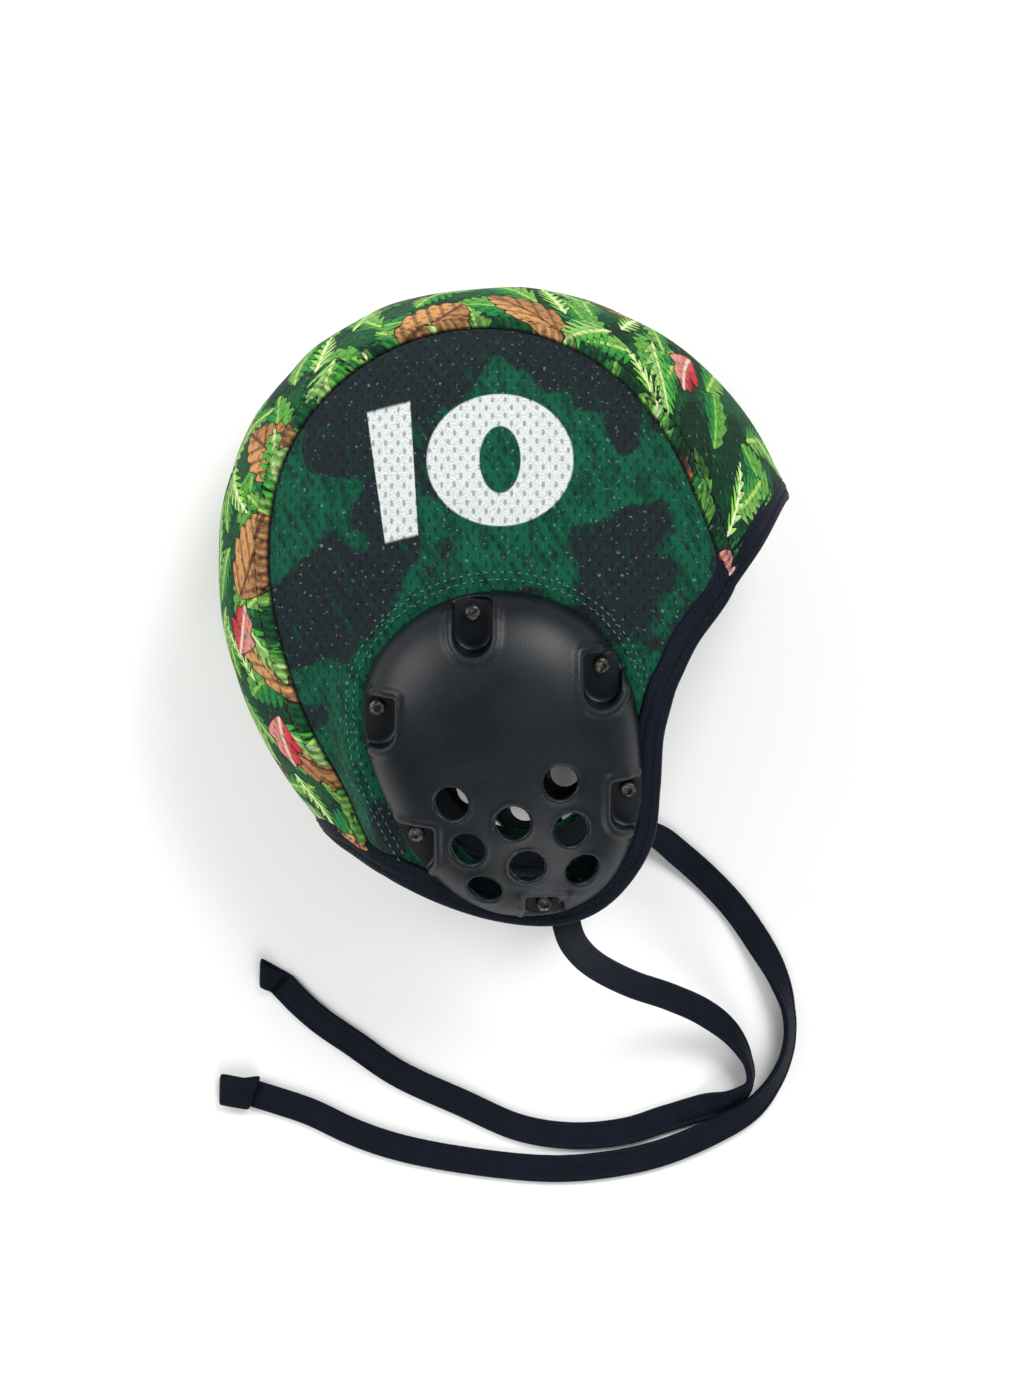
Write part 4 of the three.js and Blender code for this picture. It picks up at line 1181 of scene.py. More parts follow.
@dataclass
class CentrePanel:
    """The printed panel from the forehead over the crown to the nape."""

    form: CapForm
    rim: Rim
    rows: int = 330
    thickness: float = 0.0014
    ridge: float = 0.0010
    ridge_place: float = 0.0026
    groove: float = 0.0007
    groove_place: float = 0.0050
    crinkle: float = 0.00032
    seam_dip: float = 0.0009
    tuck: float = 0.0105
    sewn: tuple[float, float] = (0.0017, 0.0050)
    ridge_width: float = 0.0017
    groove_width: float = 0.0008
    crinkle_width: float = 0.0032
    dip_reach: float = 0.0013
    tape_ease: float = 0.015
    folds: Gather = Gather(0.0068, 0.019, 2.0)
    fine_folds: Gather = Gather(0.0031, 0.013, 3.0)

    def seam_relief(self, short: np.ndarray) -> np.ndarray:
        """Height of the sewn ridge and of its stitched groove, at a distance from the seam."""
        ridge = self.ridge * bell(short - self.ridge_place, self.ridge_width)
        return ridge - self.groove * bell(short - self.groove_place, self.groove_width)

    def surface(self, share: np.ndarray, across: np.ndarray) -> tuple[np.ndarray, np.ndarray]:
        """Places on the panel and the way out of it."""
        face, nape = self.form.strip_angles(across)
        angle = face + (nape - face) * share
        return self.form.centre_point(angle, across), self.form.centre_normal(angle, across * 0.999)

    def make(self) -> bpy.types.Object:
        """Builds the panel, with a flat map in metres."""
        columns = self.rim.centre_steps * 2 + 1
        across = np.linspace(-1, 1, columns)[None, :]
        across = across * 0.35 + np.sin(across * math.pi / 2) * 0.65
        share = np.linspace(-self.tuck, 1 + self.tuck, self.rows)[:, None]
        share, across = np.broadcast_arrays(share, across)
        surface, normal = self.surface(share, across)
        middle = columns // 2
        sideways = run_lengths(surface.transpose(1, 0, 2)).T
        sideways = sideways - sideways[:, middle:middle + 1]
        along = run_lengths(surface)
        along = along - along[self.rows // 2]
        half = np.where(across < 0, -sideways[:, :1], sideways[:, -1:])
        short = half - np.abs(sideways)
        pucker = 0.75 + 0.25 * self.folds.read(along)
        hump = self.seam_relief(short) * pucker
        near = bell(short - self.groove_place, self.crinkle_width)
        hump += self.crinkle * self.fine_folds.read(along) * near
        dip = self.seam_dip * smooth((self.dip_reach - short) / self.dip_reach)
        ripple = wander(8, surface, 0.03) * 0.0006 * smooth(short / 0.012)
        off_floor = smooth(surface[..., 2] / FLOOR_EASE)
        off_tape = smooth(np.minimum(share, 1 - share) / self.tape_ease)
        surface = surface + normal * ((hump + ripple) * off_floor * off_tape - dip)[..., None]
        flat = np.stack([sideways, along], axis=-1)
        piece = make_mesh("centre_cloth", surface.reshape(-1, 3),
                          grid_faces(self.rows, columns, False), flat.reshape(-1, 2))
        add_map(piece.data, "from_seam", np.stack([short, along], axis=-1).reshape(-1, 2))
        apply_modifier(piece, "SOLIDIFY", thickness=self.thickness, offset=-1.0)
        return piece

    def seam_line(self, side: Side, off: float) -> tuple[np.ndarray, np.ndarray]:
        """A line on the panel at a distance from one seam, and the way out along it."""
        share = np.linspace(0.015, 0.985, 420)
        edge = np.full_like(share, float(side.value))
        reach = np.linalg.norm(self.surface(share, edge)[0] - self.surface(share, edge * 0.8)[0], axis=-1)
        place, normal = self.surface(share, edge * (1 - 0.2 * off / reach))
        lift = float(self.seam_relief(np.array(off))) * 0.8
        return place + normal * lift, normal


@dataclass
class Binding:
    """The folded tape round the whole rim."""

    form: CapForm
    rim: Rim
    sewn: tuple[float, float] = (0.36, 0.79)

    def section(self) -> np.ndarray:
        """Inset and height of the tape's outside, from its inner edge on top to that below."""
        width, leg = self.form.binding_width, self.form.binding_leg
        top, under = self.form.gap + leg, -self.form.cloth - self.form.gap - leg
        middle, half = (top + under) / 2, (top - under) / 2
        upper = [
            (width, 0.0), (width - 0.0003, top * 0.75), (width - 0.0012, top + 0.0002),
            (width - 0.0021, top - 0.0001), (width - 0.0032, top + 0.0003),
            (width * 0.55, top + 0.0005), (width * 0.42, top + 0.0003),
            (width * 0.36, top - 0.0002), (width * 0.29, top + 0.0003),
            (width * 0.2, top + 0.0002),
        ]
        turn = [(0.0014 - math.sin(a) * 0.0017, middle + math.cos(a) * half)
                for a in np.linspace(0, math.pi, 9)]
        lower = [(inset, middle * 2 - height) for inset, height in reversed(upper)]
        return np.array(upper + turn + lower)

    def make(self) -> bpy.types.Object:
        """Builds the tape, with a flat map in metres."""
        section = self.section()
        count = len(self.rim.place)
        length = run_lengths(self.rim.place)
        soft = 1 + 0.25 * wander(12, self.rim.place, 0.02)[:, None]
        inset, height = section[None, :, 0], section[None, :, 1] * np.where(section[:, 1] > 0, soft, 1.0)
        surface = (self.rim.place[:, None] + self.rim.inward[:, None] * inset[..., None]
                   + self.rim.normal[:, None] * height[..., None])
        over = run_lengths(section)
        flat = places(np.repeat(length[:, None], len(section), 1), over[None, :], 0.0)[..., :2]
        sides = len(section)
        faces = [(row * sides + column, ((row + 1) % count) * sides + column,
                  ((row + 1) % count) * sides + column + 1, row * sides + column + 1)
                 for row in range(count) for column in range(sides - 1)]
        faces += [(row * sides, row * sides + sides - 1, ((row + 1) % count) * sides + sides - 1,
                   ((row + 1) % count) * sides) for row in range(count)]
        piece = make_mesh("binding_tape", surface.reshape(-1, 3), faces, flat.reshape(-1, 2))
        face_out(piece)
        return piece

    def line(self, share: float) -> tuple[np.ndarray, np.ndarray]:
        """A line on the tape's top at a share of its width, and the way out along it."""
        top = self.form.gap + self.form.binding_leg
        place = self.rim.inside(self.form.binding_width * share, top)
        return np.concatenate([place, place[:1]]), np.concatenate([self.rim.normal, self.rim.normal[:1]])


# Ear guards and screws

@dataclass
class EarGuards:
    """Two moulded domes with vents, screw pockets and their screws."""

    form: CapForm
    wall: float = 0.0025
    pocket_radius: float = 0.007
    pocket_above: float = 0.0055
    pocket_below: float = 0.0136
    pocket_wall: float = 0.0022
    pocket_floor: float = 0.0028
    vent_radius: float = 0.006
    lip_radius: float = 0.0019
    voxel: float = 0.0007
    screw_head: float = 0.0028
    screw_height: float = 0.0022
    socket: float = 0.0015
    tool_top: float = 0.05
    pocket_corner: float = 0.0015
    vent_lip_out: float = 0.0009
    vent_lip_radius: float = 0.0006
    vent_lip_sink: float = 0.0002
    cavity_bottom: float = -0.001
    pocket_bottom: float = -0.002
    screw_turn: float = 0.7
    screw_round: float = 0.28
    screw_bevel: float = 0.00012
    socket_lift: float = 0.55
    screws: tuple[tuple[float, float], ...] = (
        (103, 0.0065), (42, 0.0065), (-18, 0.0055), (-76, 0.005), (-136, 0.005), (161, 0.0055))
    vents: tuple[tuple[float, float], ...] = (
        (0.165, -0.064), (-0.161, -0.13), (0.023, -0.186), (0.197, -0.211), (-0.112, -0.273),
        (0.066, -0.326), (0.232, -0.344), (-0.062, -0.407), (0.104, -0.443))

    def height_at(self, x: np.ndarray, y: np.ndarray) -> np.ndarray:
        """Height of the dome over its seat."""
        share = np.hypot(x, y) / self.form.guard_radius(np.degrees(np.arctan2(y, x)))
        return self.form.dome_height(share)

    def dome(self, name: str, inset: float, height: float, bottom: float) -> bpy.types.Object:
        """A closed dome, from a sphere cut in half and drawn to the outline.

        Args:
            name: the object's name.
            inset: how far its outline is drawn in.
            height: its height.
            bottom: where its flat bottom is.

        Returns:
            The solid dome in the guard's own frame.
        """
        bpy.ops.mesh.primitive_uv_sphere_add(segments=120, ring_count=56, radius=1.0)
        made = bpy.context.view_layer.objects.active
        pick_only(made)
        made.name = name
        bpy.ops.object.mode_set(mode="EDIT")
        bpy.ops.mesh.select_all(action="SELECT")
        bpy.ops.mesh.bisect(plane_co=(0, 0, 0), plane_no=(0, 0, 1), clear_inner=True, use_fill=True)
        bpy.ops.object.mode_set(mode="OBJECT")
        place = np.zeros(len(made.data.vertices) * 3)
        made.data.vertices.foreach_get("co", place)
        place = place.reshape(-1, 3)
        angle = np.degrees(np.arctan2(place[:, 1], place[:, 0]))
        share = np.minimum(np.hypot(place[:, 0], place[:, 1]), 1.0)
        radius = (self.form.guard_radius(angle) - inset) * share
        level = np.maximum(self.form.dome_height(share) / self.form.guard_height * height, 0.0)
        level = np.where(share > 0.9999, bottom, level)
        place = places(*around(angle, radius), level)
        made.data.vertices.foreach_set("co", place.ravel())
        made.data.update()
        return made

    def pocket_outline(self, screw: tuple[float, float], wall: float) -> np.ndarray:
        """The outline round a screw: straight above it and round below it."""
        radius = self.pocket_radius + wall
        low = self.pocket_radius - self.pocket_below
        top = self.pocket_above + wall
        turn = np.linspace(math.pi, 2 * math.pi, 19)
        round_part = np.stack([np.cos(turn) * radius, low + np.sin(turn) * radius], axis=-1)
        soft = self.pocket_corner
        corner = np.linspace(0, math.pi / 2, 5)
        right_x, right_y = radius - soft + np.cos(corner) * soft, top - soft + np.sin(corner) * soft
        right = np.stack([right_x, right_y], axis=-1)
        left = right[::-1] * np.array([-1.0, 1.0])
        return np.concatenate([round_part, right, left]) + self.screw_place(screw)

    def screw_place(self, screw: tuple[float, float]) -> np.ndarray:
        """Where a screw is in the guard's frame."""
        angle, inset = screw
        radius = float(self.form.guard_radius(np.array(float(angle)))) - inset
        return np.array([math.cos(math.radians(angle)), math.sin(math.radians(angle))]) * radius

    def prism(self, outline: np.ndarray, bottom: float, top: float) -> bpy.types.Object:
        """A straight-walled solid over an outline."""
        count = len(outline)
        points = np.concatenate([places(outline[:, 0], outline[:, 1], bottom),
                                 places(outline[:, 0], outline[:, 1], top)])
        faces = [(i, (i + 1) % count, count + (i + 1) % count, count + i) for i in range(count)]
        faces += [tuple(reversed(range(count))), tuple(range(count, 2 * count))]
        return make_mesh("prism", points, faces)

    def cut(self, piece: bpy.types.Object, tool: bpy.types.Object, operation: str) -> None:
        """Cuts or joins a piece with a tool, which is used up."""
        apply_modifier(piece, "BOOLEAN", operation=operation, solver="EXACT", object=tool)
        bpy.data.objects.remove(tool)

    def tube(self, line: np.ndarray, radius: np.ndarray) -> bpy.types.Object:
        """A closed round tube along a closed line, with a radius for each of its places."""
        along = unit(np.roll(line, -1, axis=0) - np.roll(line, 1, axis=0))
        up = np.broadcast_to(np.array([0.0, 0.0, 1.0]), along.shape)
        across = unit(np.cross(along, up))
        over = np.cross(across, along)
        ring = np.linspace(0, 2 * math.pi, 11)[:-1][None, :, None]
        girth = np.broadcast_to(radius, len(line))[:, None, None]
        points = (line[:, None] + across[:, None] * np.cos(ring) * girth
                  + over[:, None] * np.sin(ring) * girth)
        count, sides = len(line), ring.shape[1]
        faces = [(i * sides + j, i * sides + (j + 1) % sides, ((i + 1) % count) * sides + (j + 1) % sides,
                  ((i + 1) % count) * sides + j) for i in range(count) for j in range(sides)]
        made = make_mesh("lip", points.reshape(-1, 3), faces)
        face_out(made)
        return made

    def vent_frame(self, vent: tuple[float, float]) -> tuple[Vector, Vector]:
        """Middle of a vent on the dome, and the way out there."""
        x, y = vent[0] * self.form.guard_length, vent[1] * self.form.guard_length
        step = 0.0005
        slope_x = (self.height_at(x + step, y) - self.height_at(x - step, y)) / (2 * step)
        slope_y = (self.height_at(x, y + step) - self.height_at(x, y - step)) / (2 * step)
        normal = Vector((-float(slope_x), -float(slope_y), 1.0)).normalized()
        return Vector((x, y, float(self.height_at(x, y)))), normal

    def vent_bar(self, vent: tuple[float, float]) -> bpy.types.Object:
        """A round bar that cuts a vent."""
        place, normal = self.vent_frame(vent)
        turn = normal.to_track_quat("Z", "Y").to_euler()
        bpy.ops.mesh.primitive_cylinder_add(
            vertices=40, radius=self.vent_radius, depth=self.wall * 6, location=place, rotation=turn)
        made = bpy.context.view_layer.objects.active
        settle(made)
        return made

    def vent_lip(self, vent: tuple[float, float]) -> bpy.types.Object:
        """A thin raised ring round a vent, which follows the dome."""
        place, normal = self.vent_frame(vent)
        turn = normal.to_track_quat("Z", "Y")
        line = []
        for angle in np.linspace(0, 2 * math.pi, 49)[:-1]:
            reach = self.vent_radius + self.vent_lip_out
            spot = place + turn @ Vector((math.cos(angle) * reach, math.sin(angle) * reach, 0.0))
            line.append((spot.x, spot.y, float(self.height_at(spot.x, spot.y)) - self.vent_lip_sink))
        return self.tube(np.array(line), self.vent_lip_radius)

    def pocket_lip(self, screw: tuple[float, float]) -> bpy.types.Object:
        """The soft raised lip round a pocket, which follows the dome."""
        outline = self.pocket_outline(screw, self.lip_radius * 0.7)
        step = np.linspace(0, len(outline), 97)[:-1]
        closed = np.concatenate([outline, outline[:1]])
        even = np.arange(len(closed))
        x, y = (np.interp(step, even, closed[:, axis]) for axis in (0, 1))
        height = self.height_at(x, y)
        share = np.hypot(x, y) / self.form.guard_radius(np.degrees(np.arctan2(y, x)))
        shrink = np.minimum(1.0, 0.96 / share)
        proud = smooth((height - self.pocket_floor - 0.0015) / 0.004)
        level = np.maximum(height - self.lip_radius * 0.75, 0.001)
        return self.tube(places(x * shrink, y * shrink, level), 0.0002 + self.lip_radius * proud)

    def shell(self) -> bpy.types.Object:
        """The guard in its own frame: cut, joined, then softened as one moulding."""
        inner_height = self.form.guard_height - self.wall
        cavity = self.dome("cavity", self.wall, inner_height, self.cavity_bottom)
        for screw in self.screws:
            outline = self.pocket_outline(screw, self.pocket_wall)
            self.cut(cavity, self.prism(outline, self.pocket_bottom, self.tool_top), "DIFFERENCE")
        guard = self.dome("ear_guard", 0.0, self.form.guard_height, 0.0)
        self.cut(guard, cavity, "DIFFERENCE")
        for screw in self.screws:
            pocket = self.prism(self.pocket_outline(screw, 0.0), self.pocket_floor, self.tool_top)
            self.cut(guard, pocket, "DIFFERENCE")
        for vent in self.vents:
            self.cut(guard, self.vent_bar(vent), "DIFFERENCE")
        lips = [self.vent_lip(vent) for vent in self.vents]
        lips += [self.pocket_lip(screw) for screw in self.screws]
        guard = join([guard, *lips], "ear_guard")
        apply_modifier(guard, "REMESH", mode="VOXEL", voxel_size=self.voxel)
        apply_modifier(guard, "SMOOTH", factor=0.5, iterations=5)
        return guard

    def screw(self) -> bpy.types.Object:
        """One round-headed screw with a six-sided socket, standing at the origin."""
        bpy.ops.mesh.primitive_cylinder_add(vertices=40, radius=self.screw_head, depth=self.screw_height)
        head = bpy.context.view_layer.objects.active
        pick_only(head)
        bpy.ops.object.mode_set(mode="EDIT")
        bpy.ops.mesh.select_all(action="DESELECT")
        bpy.ops.mesh.select_mode(type="FACE")
        bpy.ops.object.mode_set(mode="OBJECT")
        for face in head.data.polygons:
            face.select = face.normal.z > 0.9
        bpy.ops.object.mode_set(mode="EDIT")
        bpy.ops.mesh.bevel(offset=self.screw_head * self.screw_round, segments=4, affect="EDGES")
        bpy.ops.object.mode_set(mode="OBJECT")
        settle(head)
        bpy.ops.mesh.primitive_cylinder_add(
            vertices=6, radius=self.socket, depth=self.screw_height,
            location=(0, 0, self.screw_height * self.socket_lift))
        tool = bpy.context.view_layer.objects.active
        settle(tool)
        self.cut(head, tool, "DIFFERENCE")
        apply_modifier(head, "BEVEL", width=self.screw_bevel, segments=2, limit_method="ANGLE")
        pick_only(head)
        bpy.ops.object.shade_smooth_by_angle(angle=math.radians(35))
        return head

    def placement(self, side: Side) -> Matrix:
        """From the guard's frame to its side of the lying cap."""
        tilt = self.form.guard_tilt if side is Side.RIGHT else 0.0
        turned = Matrix.Rotation(tilt, 4, "X")
        seated = Matrix.Translation((0, self.form.guard_y, self.form.seat_height(side))) @ turned
        shift = Vector(ORIGIN)
        if side is Side.RIGHT:
            return Matrix.Translation(shift + Vector((0, 0, self.form.middle_height))) @ seated
        down = Vector((0, self.form.flap_lift, self.form.middle_height + self.form.flap_push))
        return Matrix.Translation(shift + down) @ Matrix.Scale(-1, 4, (0, 0, 1)) @ seated

    def put(self, source: bpy.types.Object, name: str, side: Side, local: Matrix) -> bpy.types.Object:
        """Copies a piece to its side of the cap."""
        mesh = source.data.copy()
        mesh.name = name
        mesh.transform(self.placement(side) @ local)
        if side is Side.LEFT:
            mesh.flip_normals()
        made = bpy.data.objects.new(name, mesh)
        bpy.context.scene.collection.objects.link(made)
        return made

    def make(self, finishes: Wardrobe) -> None:
        """Builds both guards and all their screws."""
        shell, screw = self.shell(), self.screw()
        pick_only(shell)
        bpy.ops.object.shade_smooth()
        seat = self.pocket_floor + self.form.gap + self.screw_height / 2
        for side in Side:
            guard = self.put(shell, f"guard_shell_{side.label}", side, Matrix.Identity(4))
            dress(guard, finishes.plastic)
            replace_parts(guard, f"ear_guard_{side.label}")
            for index, spot in enumerate(self.screws):
                x, y = self.screw_place(spot)
                turned = Matrix.Translation((x, y, seat)) @ Matrix.Rotation(self.screw_turn * index, 4, "Z")
                name = f"{side.label}_{index + 1}"
                piece = self.put(screw, f"screw_head_{name}", side, turned)
                dress(piece, finishes.steel)
                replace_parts(piece, f"guard_screw_{name}")
        for spare in (shell, screw):
            bpy.data.objects.remove(spare)


# Ties

@dataclass
class TieTape:
    """A flat tie tape that lies loose and ends in a folded loop."""

    name: str
    route: tuple[tuple[float, float, float, float], ...]
    fold: tuple[tuple[float, float], tuple[float, float]]
    flap: tuple[tuple[float, float], tuple[float, float]]
    width: float = 0.0103
    thickness: float = 0.0020
    steps: int = 300
    loop_height: float = 0.0046
    overlap: float = 0.0025

    def curve(self) -> tuple[np.ndarray, np.ndarray]:
        """The middle of the tape as close places, and its lean at each."""
        known = np.array([spot[:3] for spot in self.route])
        leans = np.array([spot[3] for spot in self.route])
        ends = np.concatenate([[2 * known[0] - known[1]], known, [2 * known[-1] - known[-2]]])
        position = np.linspace(0, len(known) - 1, self.steps + 1)
        index = np.minimum(position.astype(int), len(known) - 2)
        share = (position - index)[:, None]
        p0, p1, p2, p3 = (ends[index + shift] for shift in range(4))
        d0, d1, d2 = (np.sqrt(np.linalg.norm(b - a, axis=-1, keepdims=True))
                      for a, b in ((p0, p1), (p1, p2), (p2, p3)))
        m1 = ((p1 - p0) / d0 - (p2 - p0) / (d0 + d1) + (p2 - p1) / d1) * d1
        m2 = ((p2 - p1) / d1 - (p3 - p1) / (d1 + d2) + (p3 - p2) / d2) * d1
        place = ((2 * share**3 - 3 * share**2 + 1) * p1 + (share**3 - 2 * share**2 + share) * m1
                 + (3 * share**2 - 2 * share**3) * p2 + (share**3 - share**2) * m2)
        lean = np.interp(position, np.arange(len(known)), leans)
        return place + ORIGIN, np.radians(lean)

    def section(self) -> np.ndarray:
        """Half of the tape's cross-section as shares of its half width and half thickness."""
        top = [(1.0, 0.0), (0.985, 0.65), (0.93, 1.0), (0.82, 1.08), (0.68, 1.0), (0.62, 0.72),
               (0.55, 0.92), (0.3, 0.96), (0.0, 0.9), (-0.3, 0.96), (-0.55, 0.92), (-0.62, 0.72),
               (-0.68, 1.0), (-0.82, 1.08), (-0.93, 1.0), (-0.985, 0.65)]
        return np.array(top + [(-over, -height) for over, height in top])

    def frames(self) -> tuple[np.ndarray, np.ndarray, np.ndarray]:
        """Places along the tape, and the ways across and up at each."""
        place, lean = self.curve()
        along = unit(np.gradient(place, axis=0))
        level = unit(places(-along[:, 1], along[:, 0], 0.0))
        rise = unit(np.cross(along, level))
        across = level * np.cos(lean)[:, None] + rise * np.sin(lean)[:, None]
        return place, across, unit(np.cross(along, across))

    def make(self, finishes: Wardrobe) -> bpy.types.Object:
        place, across, up = self.frames()
        section = self.section()
        surface = (place[:, None] + across[:, None] * (section[None, :, :1] * self.width / 2)
                   + up[:, None] * (section[None, :, 1:] * self.thickness / 2))
        length = run_lengths(place)
        over = run_lengths(section * np.array([self.width / 2, self.thickness / 2]))
        flat = places(length[:, None], over[None, :], 0.0)[..., :2]
        sides = len(section)
        faces = grid_faces(len(place), sides, True)
        last = (len(place) - 1) * sides
        faces += [tuple(range(sides)), tuple(last + side for side in reversed(range(sides)))]
        tape = make_mesh(self.name, surface.reshape(-1, 3), faces, flat.reshape(-1, 2))
        loop = self.loop(place[-1], across[-1])
        tape = join([tape, loop], self.name)
        face_out(tape)
        dress(tape, finishes.tape)
        return tape

    def loop(self, end: np.ndarray, across: np.ndarray) -> bpy.types.Object:
        """The folded end: the tape goes on to its fold, turns up and comes back over itself."""
        low, high = (np.append(corner, 0.0) + ORIGIN for corner in self.fold)
        last_low, last_high = (np.append(corner, 0.0) + ORIGIN for corner in self.flap)
        start = end * np.array([1.0, 1.0, 0.0])
        start = start - unit((low + high) / 2 - start) * self.overlap
        half = across * np.array([1.0, 1.0, 0.0]) * self.width / 2
        sign = 1.0 if np.dot(low - high, half) > 0 else -1.0
        first_low, first_high = start + half * sign, start - half * sign
        inset = (low - high) * 0.13
        top = self.loop_height
        lines = [
            (first_low, first_high, 0.0010),
            (first_low * 0.6 + low * 0.4, first_high * 0.6 + high * 0.4, 0.0009),
            (first_low * 0.12 + low * 0.88, first_high * 0.12 + high * 0.88, 0.0009), (low, high, 0.0017),
            (low, high + inset * 0.3, top * 0.5), (low, high + inset * 0.6, top * 0.85),
            (low * 0.88 + last_low * 0.12, high * 0.88 + last_high * 0.12 + inset, top),
            (low * 0.5 + last_low * 0.5, high * 0.5 + last_high * 0.5 + inset * 0.8, top * 1.02),
            (low * 0.15 + last_low * 0.85, high * 0.15 + last_high * 0.85 + inset * 0.2, top * 0.82),
            (last_low, last_high, top * 0.76),
        ]
        share = np.linspace(0, 1, 5)[:, None]
        sag = np.sin(share * math.pi) * np.array([0.0, 0.0, 0.0004])
        points = np.concatenate([a + (b - a) * share + np.array([0.0, 0.0, level]) + sag
                                 for a, b, level in lines])
        width = np.tile(np.linspace(0, self.width, 5), len(lines))
        run = np.repeat(np.linspace(0, 0.026, len(lines)), 5)
        made = make_mesh("loop", points, grid_faces(len(lines), 5, False), np.stack([run, width], axis=-1))
        apply_modifier(made, "SOLIDIFY", thickness=self.thickness * 0.6, offset=0.0)
        apply_modifier(made, "SUBSURF", levels=2, render_levels=2)
        return made


RIGHT_ROUTE = (
    (0.0208, -0.107, 0.0992, 0), (0.0218, -0.1125, 0.0975, 0), (0.0233, -0.1175, 0.0925, 0),
    (0.027, -0.1235, 0.081, 0), (0.0336, -0.1298, 0.066, 0), (0.0465, -0.1374, 0.047, 0),
    (0.0611, -0.1434, 0.031, 0), (0.0747, -0.1504, 0.018, -10), (0.0853, -0.1591, 0.01, -45),
    (0.0915, -0.1695, 0.0062, -75), (0.0922, -0.1776, 0.0059, -80), (0.0856, -0.1843, 0.0046, -40),
    (0.0745, -0.1876, 0.0016, -4), (0.06, -0.192, 0.0014, 0), (0.0459, -0.1964, 0.0014, 0),
    (0.0259, -0.1983, 0.0014, 0), (0.0054, -0.1953, 0.0014, 0), (-0.0166, -0.1858, 0.0014, 0),
    (-0.0412, -0.1745, 0.0014, 0), (-0.0579, -0.1631, 0.0014, 0), (-0.07, -0.1548, 0.0014, 0),
    (-0.0783, -0.1476, 0.0014, 0), (-0.0848, -0.1408, 0.0014, 0),
)
LEFT_ROUTE = (
    (0.0208, -0.093, 0.0312, 0), (0.0218, -0.0985, 0.0315, 0), (0.024, -0.1035, 0.027, -20),
    (0.0285, -0.1055, 0.0205, -50), (0.034, -0.102, 0.013, -80), (0.0388, -0.0955, 0.0086, -85),
    (0.043, -0.0875, 0.0068, -80), (0.049, -0.0826, 0.0058, -60), (0.0571, -0.0846, 0.004, -30),
    (0.0663, -0.0918, 0.0022, -10), (0.0762, -0.1006, 0.0015, 0), (0.0864, -0.1115, 0.0015, 0),
    (0.0954, -0.1243, 0.0023, -10), (0.1026, -0.1371, 0.0045, -40), (0.1067, -0.1496, 0.0058, -65),
    (0.1074, -0.1594, 0.006, -68), (0.1056, -0.1689, 0.0058, -65), (0.1007, -0.1788, 0.0054, -55),
    (0.0924, -0.1884, 0.0044, -34), (0.077, -0.1972, 0.0032, -15), (0.057, -0.2053, 0.0018, -3),
    (0.0357, -0.2096, 0.0014, 0), (0.0156, -0.2107, 0.0014, 0), (-0.0166, -0.2074, 0.0014, 0),
    (-0.0412, -0.2025, 0.0014, 0), (-0.0579, -0.1968, 0.0014, 0), (-0.0742, -0.1892, 0.0014, 0),
    (-0.0863, -0.1851, 0.0014, 0), (-0.095, -0.1824, 0.0014, 0),
)


# Floor, lights and camera

@dataclass(frozen=True)
class SoftLight:
    """One square soft light."""

    name: str
    place: tuple[float, float, float]
    size: float
    power: float


@dataclass
class Studio:
    """The pale floor, the soft lights and the camera of the photograph."""

    camera_place: tuple[float, float, float] = (0.00202, -0.02926, 1.5)
    lens: float = 103.67
    sensor_width: float = 36.0
    floor_colour: str = "#f4f4f4"
    floor_size: float = 6.0
    world_strength: float = 0.36
    aim: tuple[float, float, float] = (0.0, -0.05, 0.05)
    lights: tuple[SoftLight, ...] = (
        SoftLight("key", (0.75, 0.95, 1.45), 0.9, 27.0),
        SoftLight("fill", (-1.35, 0.55, 1.15), 1.1, 21.0),
        SoftLight("back", (0.35, -1.5, 1.0), 1.1, 15.0),
    )

    def make_camera(self) -> None:
        """Puts the camera straight above the lying cap."""
        data = bpy.data.cameras.new("camera")
        data.lens = self.lens
        data.sensor_width = self.sensor_width
        data.sensor_fit = "AUTO"
        camera = bpy.data.objects.new("camera", data)
        camera.location = self.camera_place
        bpy.context.scene.collection.objects.link(camera)
        bpy.context.scene.camera = camera

    def make_floor(self) -> None:
        """Lays a wide plain floor under the cap."""
        bpy.ops.mesh.primitive_plane_add(size=self.floor_size, location=(0, 0, 0))
        floor = bpy.context.view_layer.objects.active
        floor.name = "floor"
        graph = Graph("floor_paint", 0.9, Specular_IOR_Level=0.1)
        graph.shader.inputs["Base Color"].default_value = tone(self.floor_colour)
        floor.data.materials.append(graph.material)

    def hang(self, light: SoftLight) -> None:
        """Hangs a light that looks at the cap."""
        data = bpy.data.lights.new(light.name, "AREA")
        data.energy = light.power
        data.size = light.size
        made = bpy.data.objects.new(light.name, data)
        made.location = light.place
        way = Vector(self.aim) - Vector(light.place)
        made.rotation_euler = way.to_track_quat("-Z", "Y").to_euler()
        bpy.context.scene.collection.objects.link(made)

    def make(self) -> None:
        """Builds the studio."""
        world = bpy.data.worlds.new("studio")
        world.use_nodes = True
        background = world.node_tree.nodes["Background"].inputs
        background["Color"].default_value = WHITE
        background["Strength"].default_value = self.world_strength
        bpy.context.scene.view_settings.view_transform = "Standard"
        bpy.context.scene.world = world
        self.make_floor()
        for light in self.lights:
            self.hang(light)


# Building

def build_ties(finishes: Wardrobe) -> None:
    """Lays both ties."""
    right = TieTape("tie_tape_right", RIGHT_ROUTE, fold=((-0.0927, -0.1421), (-0.0925, -0.1308)),
                    flap=((-0.0898, -0.1435), (-0.0838, -0.137)))
    left = TieTape("tie_tape_left", LEFT_ROUTE, fold=((-0.108, -0.1865), (-0.1077, -0.1746)),
                   flap=((-0.097, -0.1885), (-0.0924, -0.1751)))
    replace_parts(right.make(finishes), "tie_right")
    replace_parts(left.make(finishes), "tie_left")


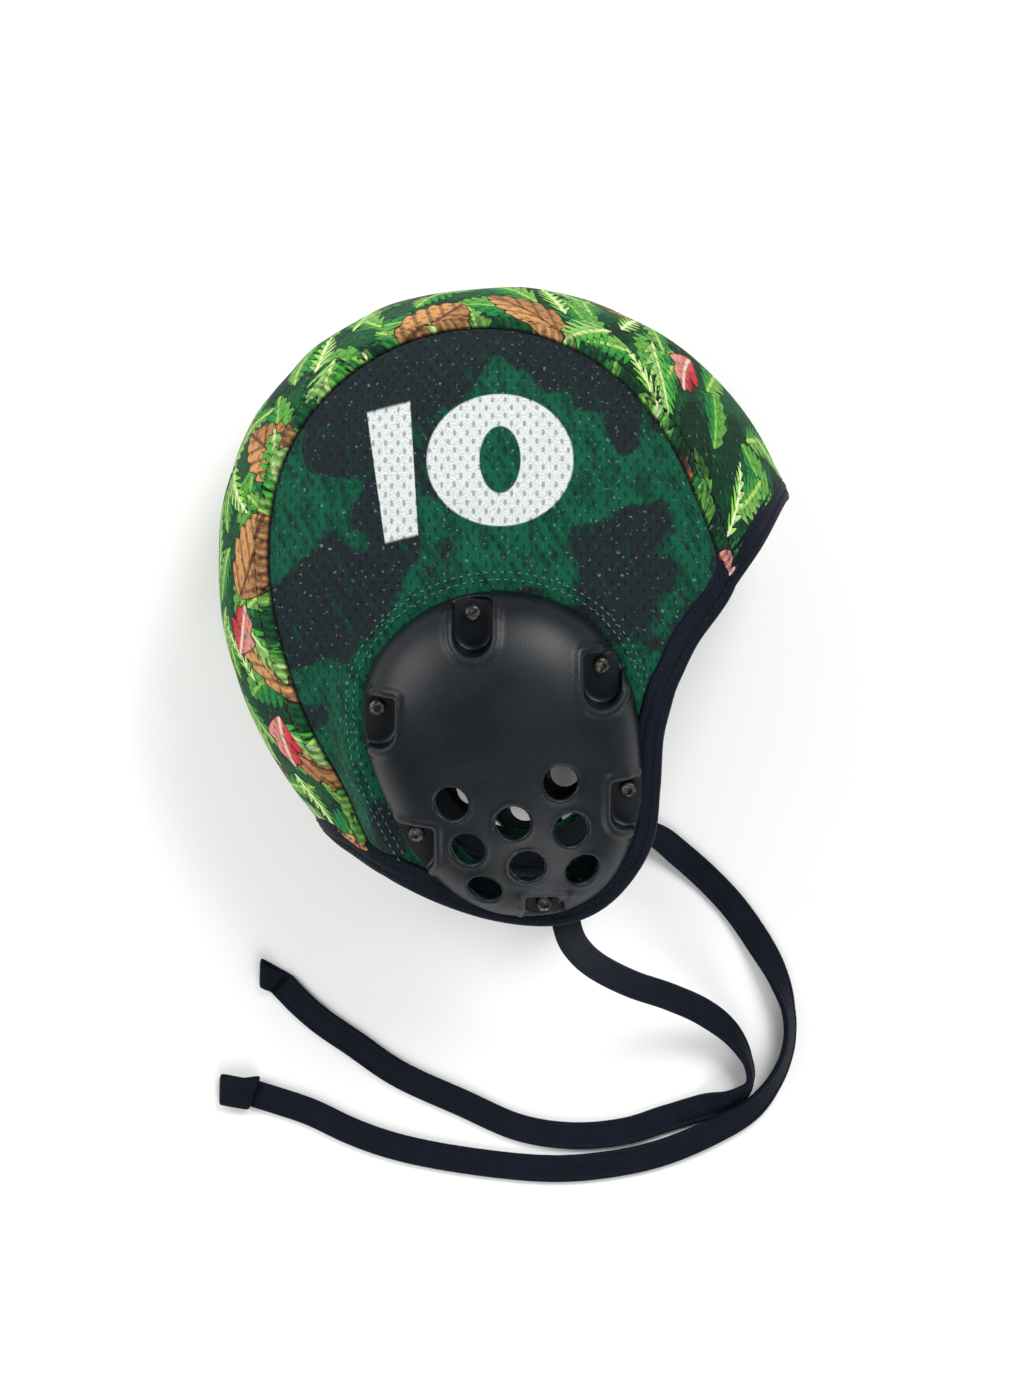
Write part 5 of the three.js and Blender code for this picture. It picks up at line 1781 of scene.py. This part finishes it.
def declare_cloth(piece: bpy.types.Object) -> None:
    """Logs a printed panel's cut size, from its flat map, and the area that its own two faces give.

    Args:
        piece: the panel, with its flat map.
    """
    flat = np.zeros(len(piece.data.loops) * 2, dtype=np.float32)
    piece.data.uv_layers["flat"].data.foreach_get("uv", flat)
    size = np.ptp(flat.reshape(-1, 2), axis=0)
    area = sum(face.area for face in piece.data.polygons) / 2
    size = size * max(1.0, math.sqrt(area / float(size[0] * size[1])))
    LOG.info("%s: cut %.3f by %.3f m, %.4f m2", piece.name, size[0], size[1], area)


def build_cloth(form: CapForm, rim: Rim, finishes: Wardrobe) -> None:
    """Sews the three panels, their stitches and the binding."""
    centre = CentrePanel(form, rim)
    piece = centre.make()
    dress(piece, finishes.centre)
    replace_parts(piece, "centre_panel")
    seam_lines = [centre.seam_line(side, off) for side in Side for off in centre.sewn]
    stitches = Stitches("seam_stitches").make(seam_lines)
    dress(stitches, finishes.black_thread)
    declare_cloth(piece)
    for side in Side:
        panel = SidePanel(form, rim, side)
        piece = panel.make()
        dress(piece, SidePrint(side).make())
        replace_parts(piece, f"side_panel_{side.label}")
        lines = [panel.guard_line(off) for off in panel.sewn]
        name = f"guard_stitches_{side.label}"
        stitches = Stitches(name, length=0.0016, pitch=0.0029, radius=0.00022).make(lines)
        dress(stitches, finishes.pale_thread)
        declare_cloth(piece)
    binding = Binding(form, rim)
    piece = binding.make()
    dress(piece, finishes.tape)
    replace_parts(piece, "rim_binding")
    stitches = Stitches("binding_stitches").make([binding.line(share) for share in binding.sewn])
    dress(stitches, finishes.black_thread)


def main() -> None:
    """Builds the cap and its studio in order."""
    logging.basicConfig(level=logging.INFO, format="%(name)s: %(message)s")
    studio = Studio()
    studio.make_camera()
    finishes = Wardrobe()
    build_ties(finishes)
    form = CapForm()
    rim = Rim(form)
    build_cloth(form, rim, finishes)
    EarGuards(form).make(finishes)
    for side in Side:
        ring = frame["nodes"][f"clamp_ring_{side.label}"]
        ring.data.materials.clear()
        ring.data.materials.append(finishes.plastic)
    studio.make()


if __name__ == "__main__":
    main()
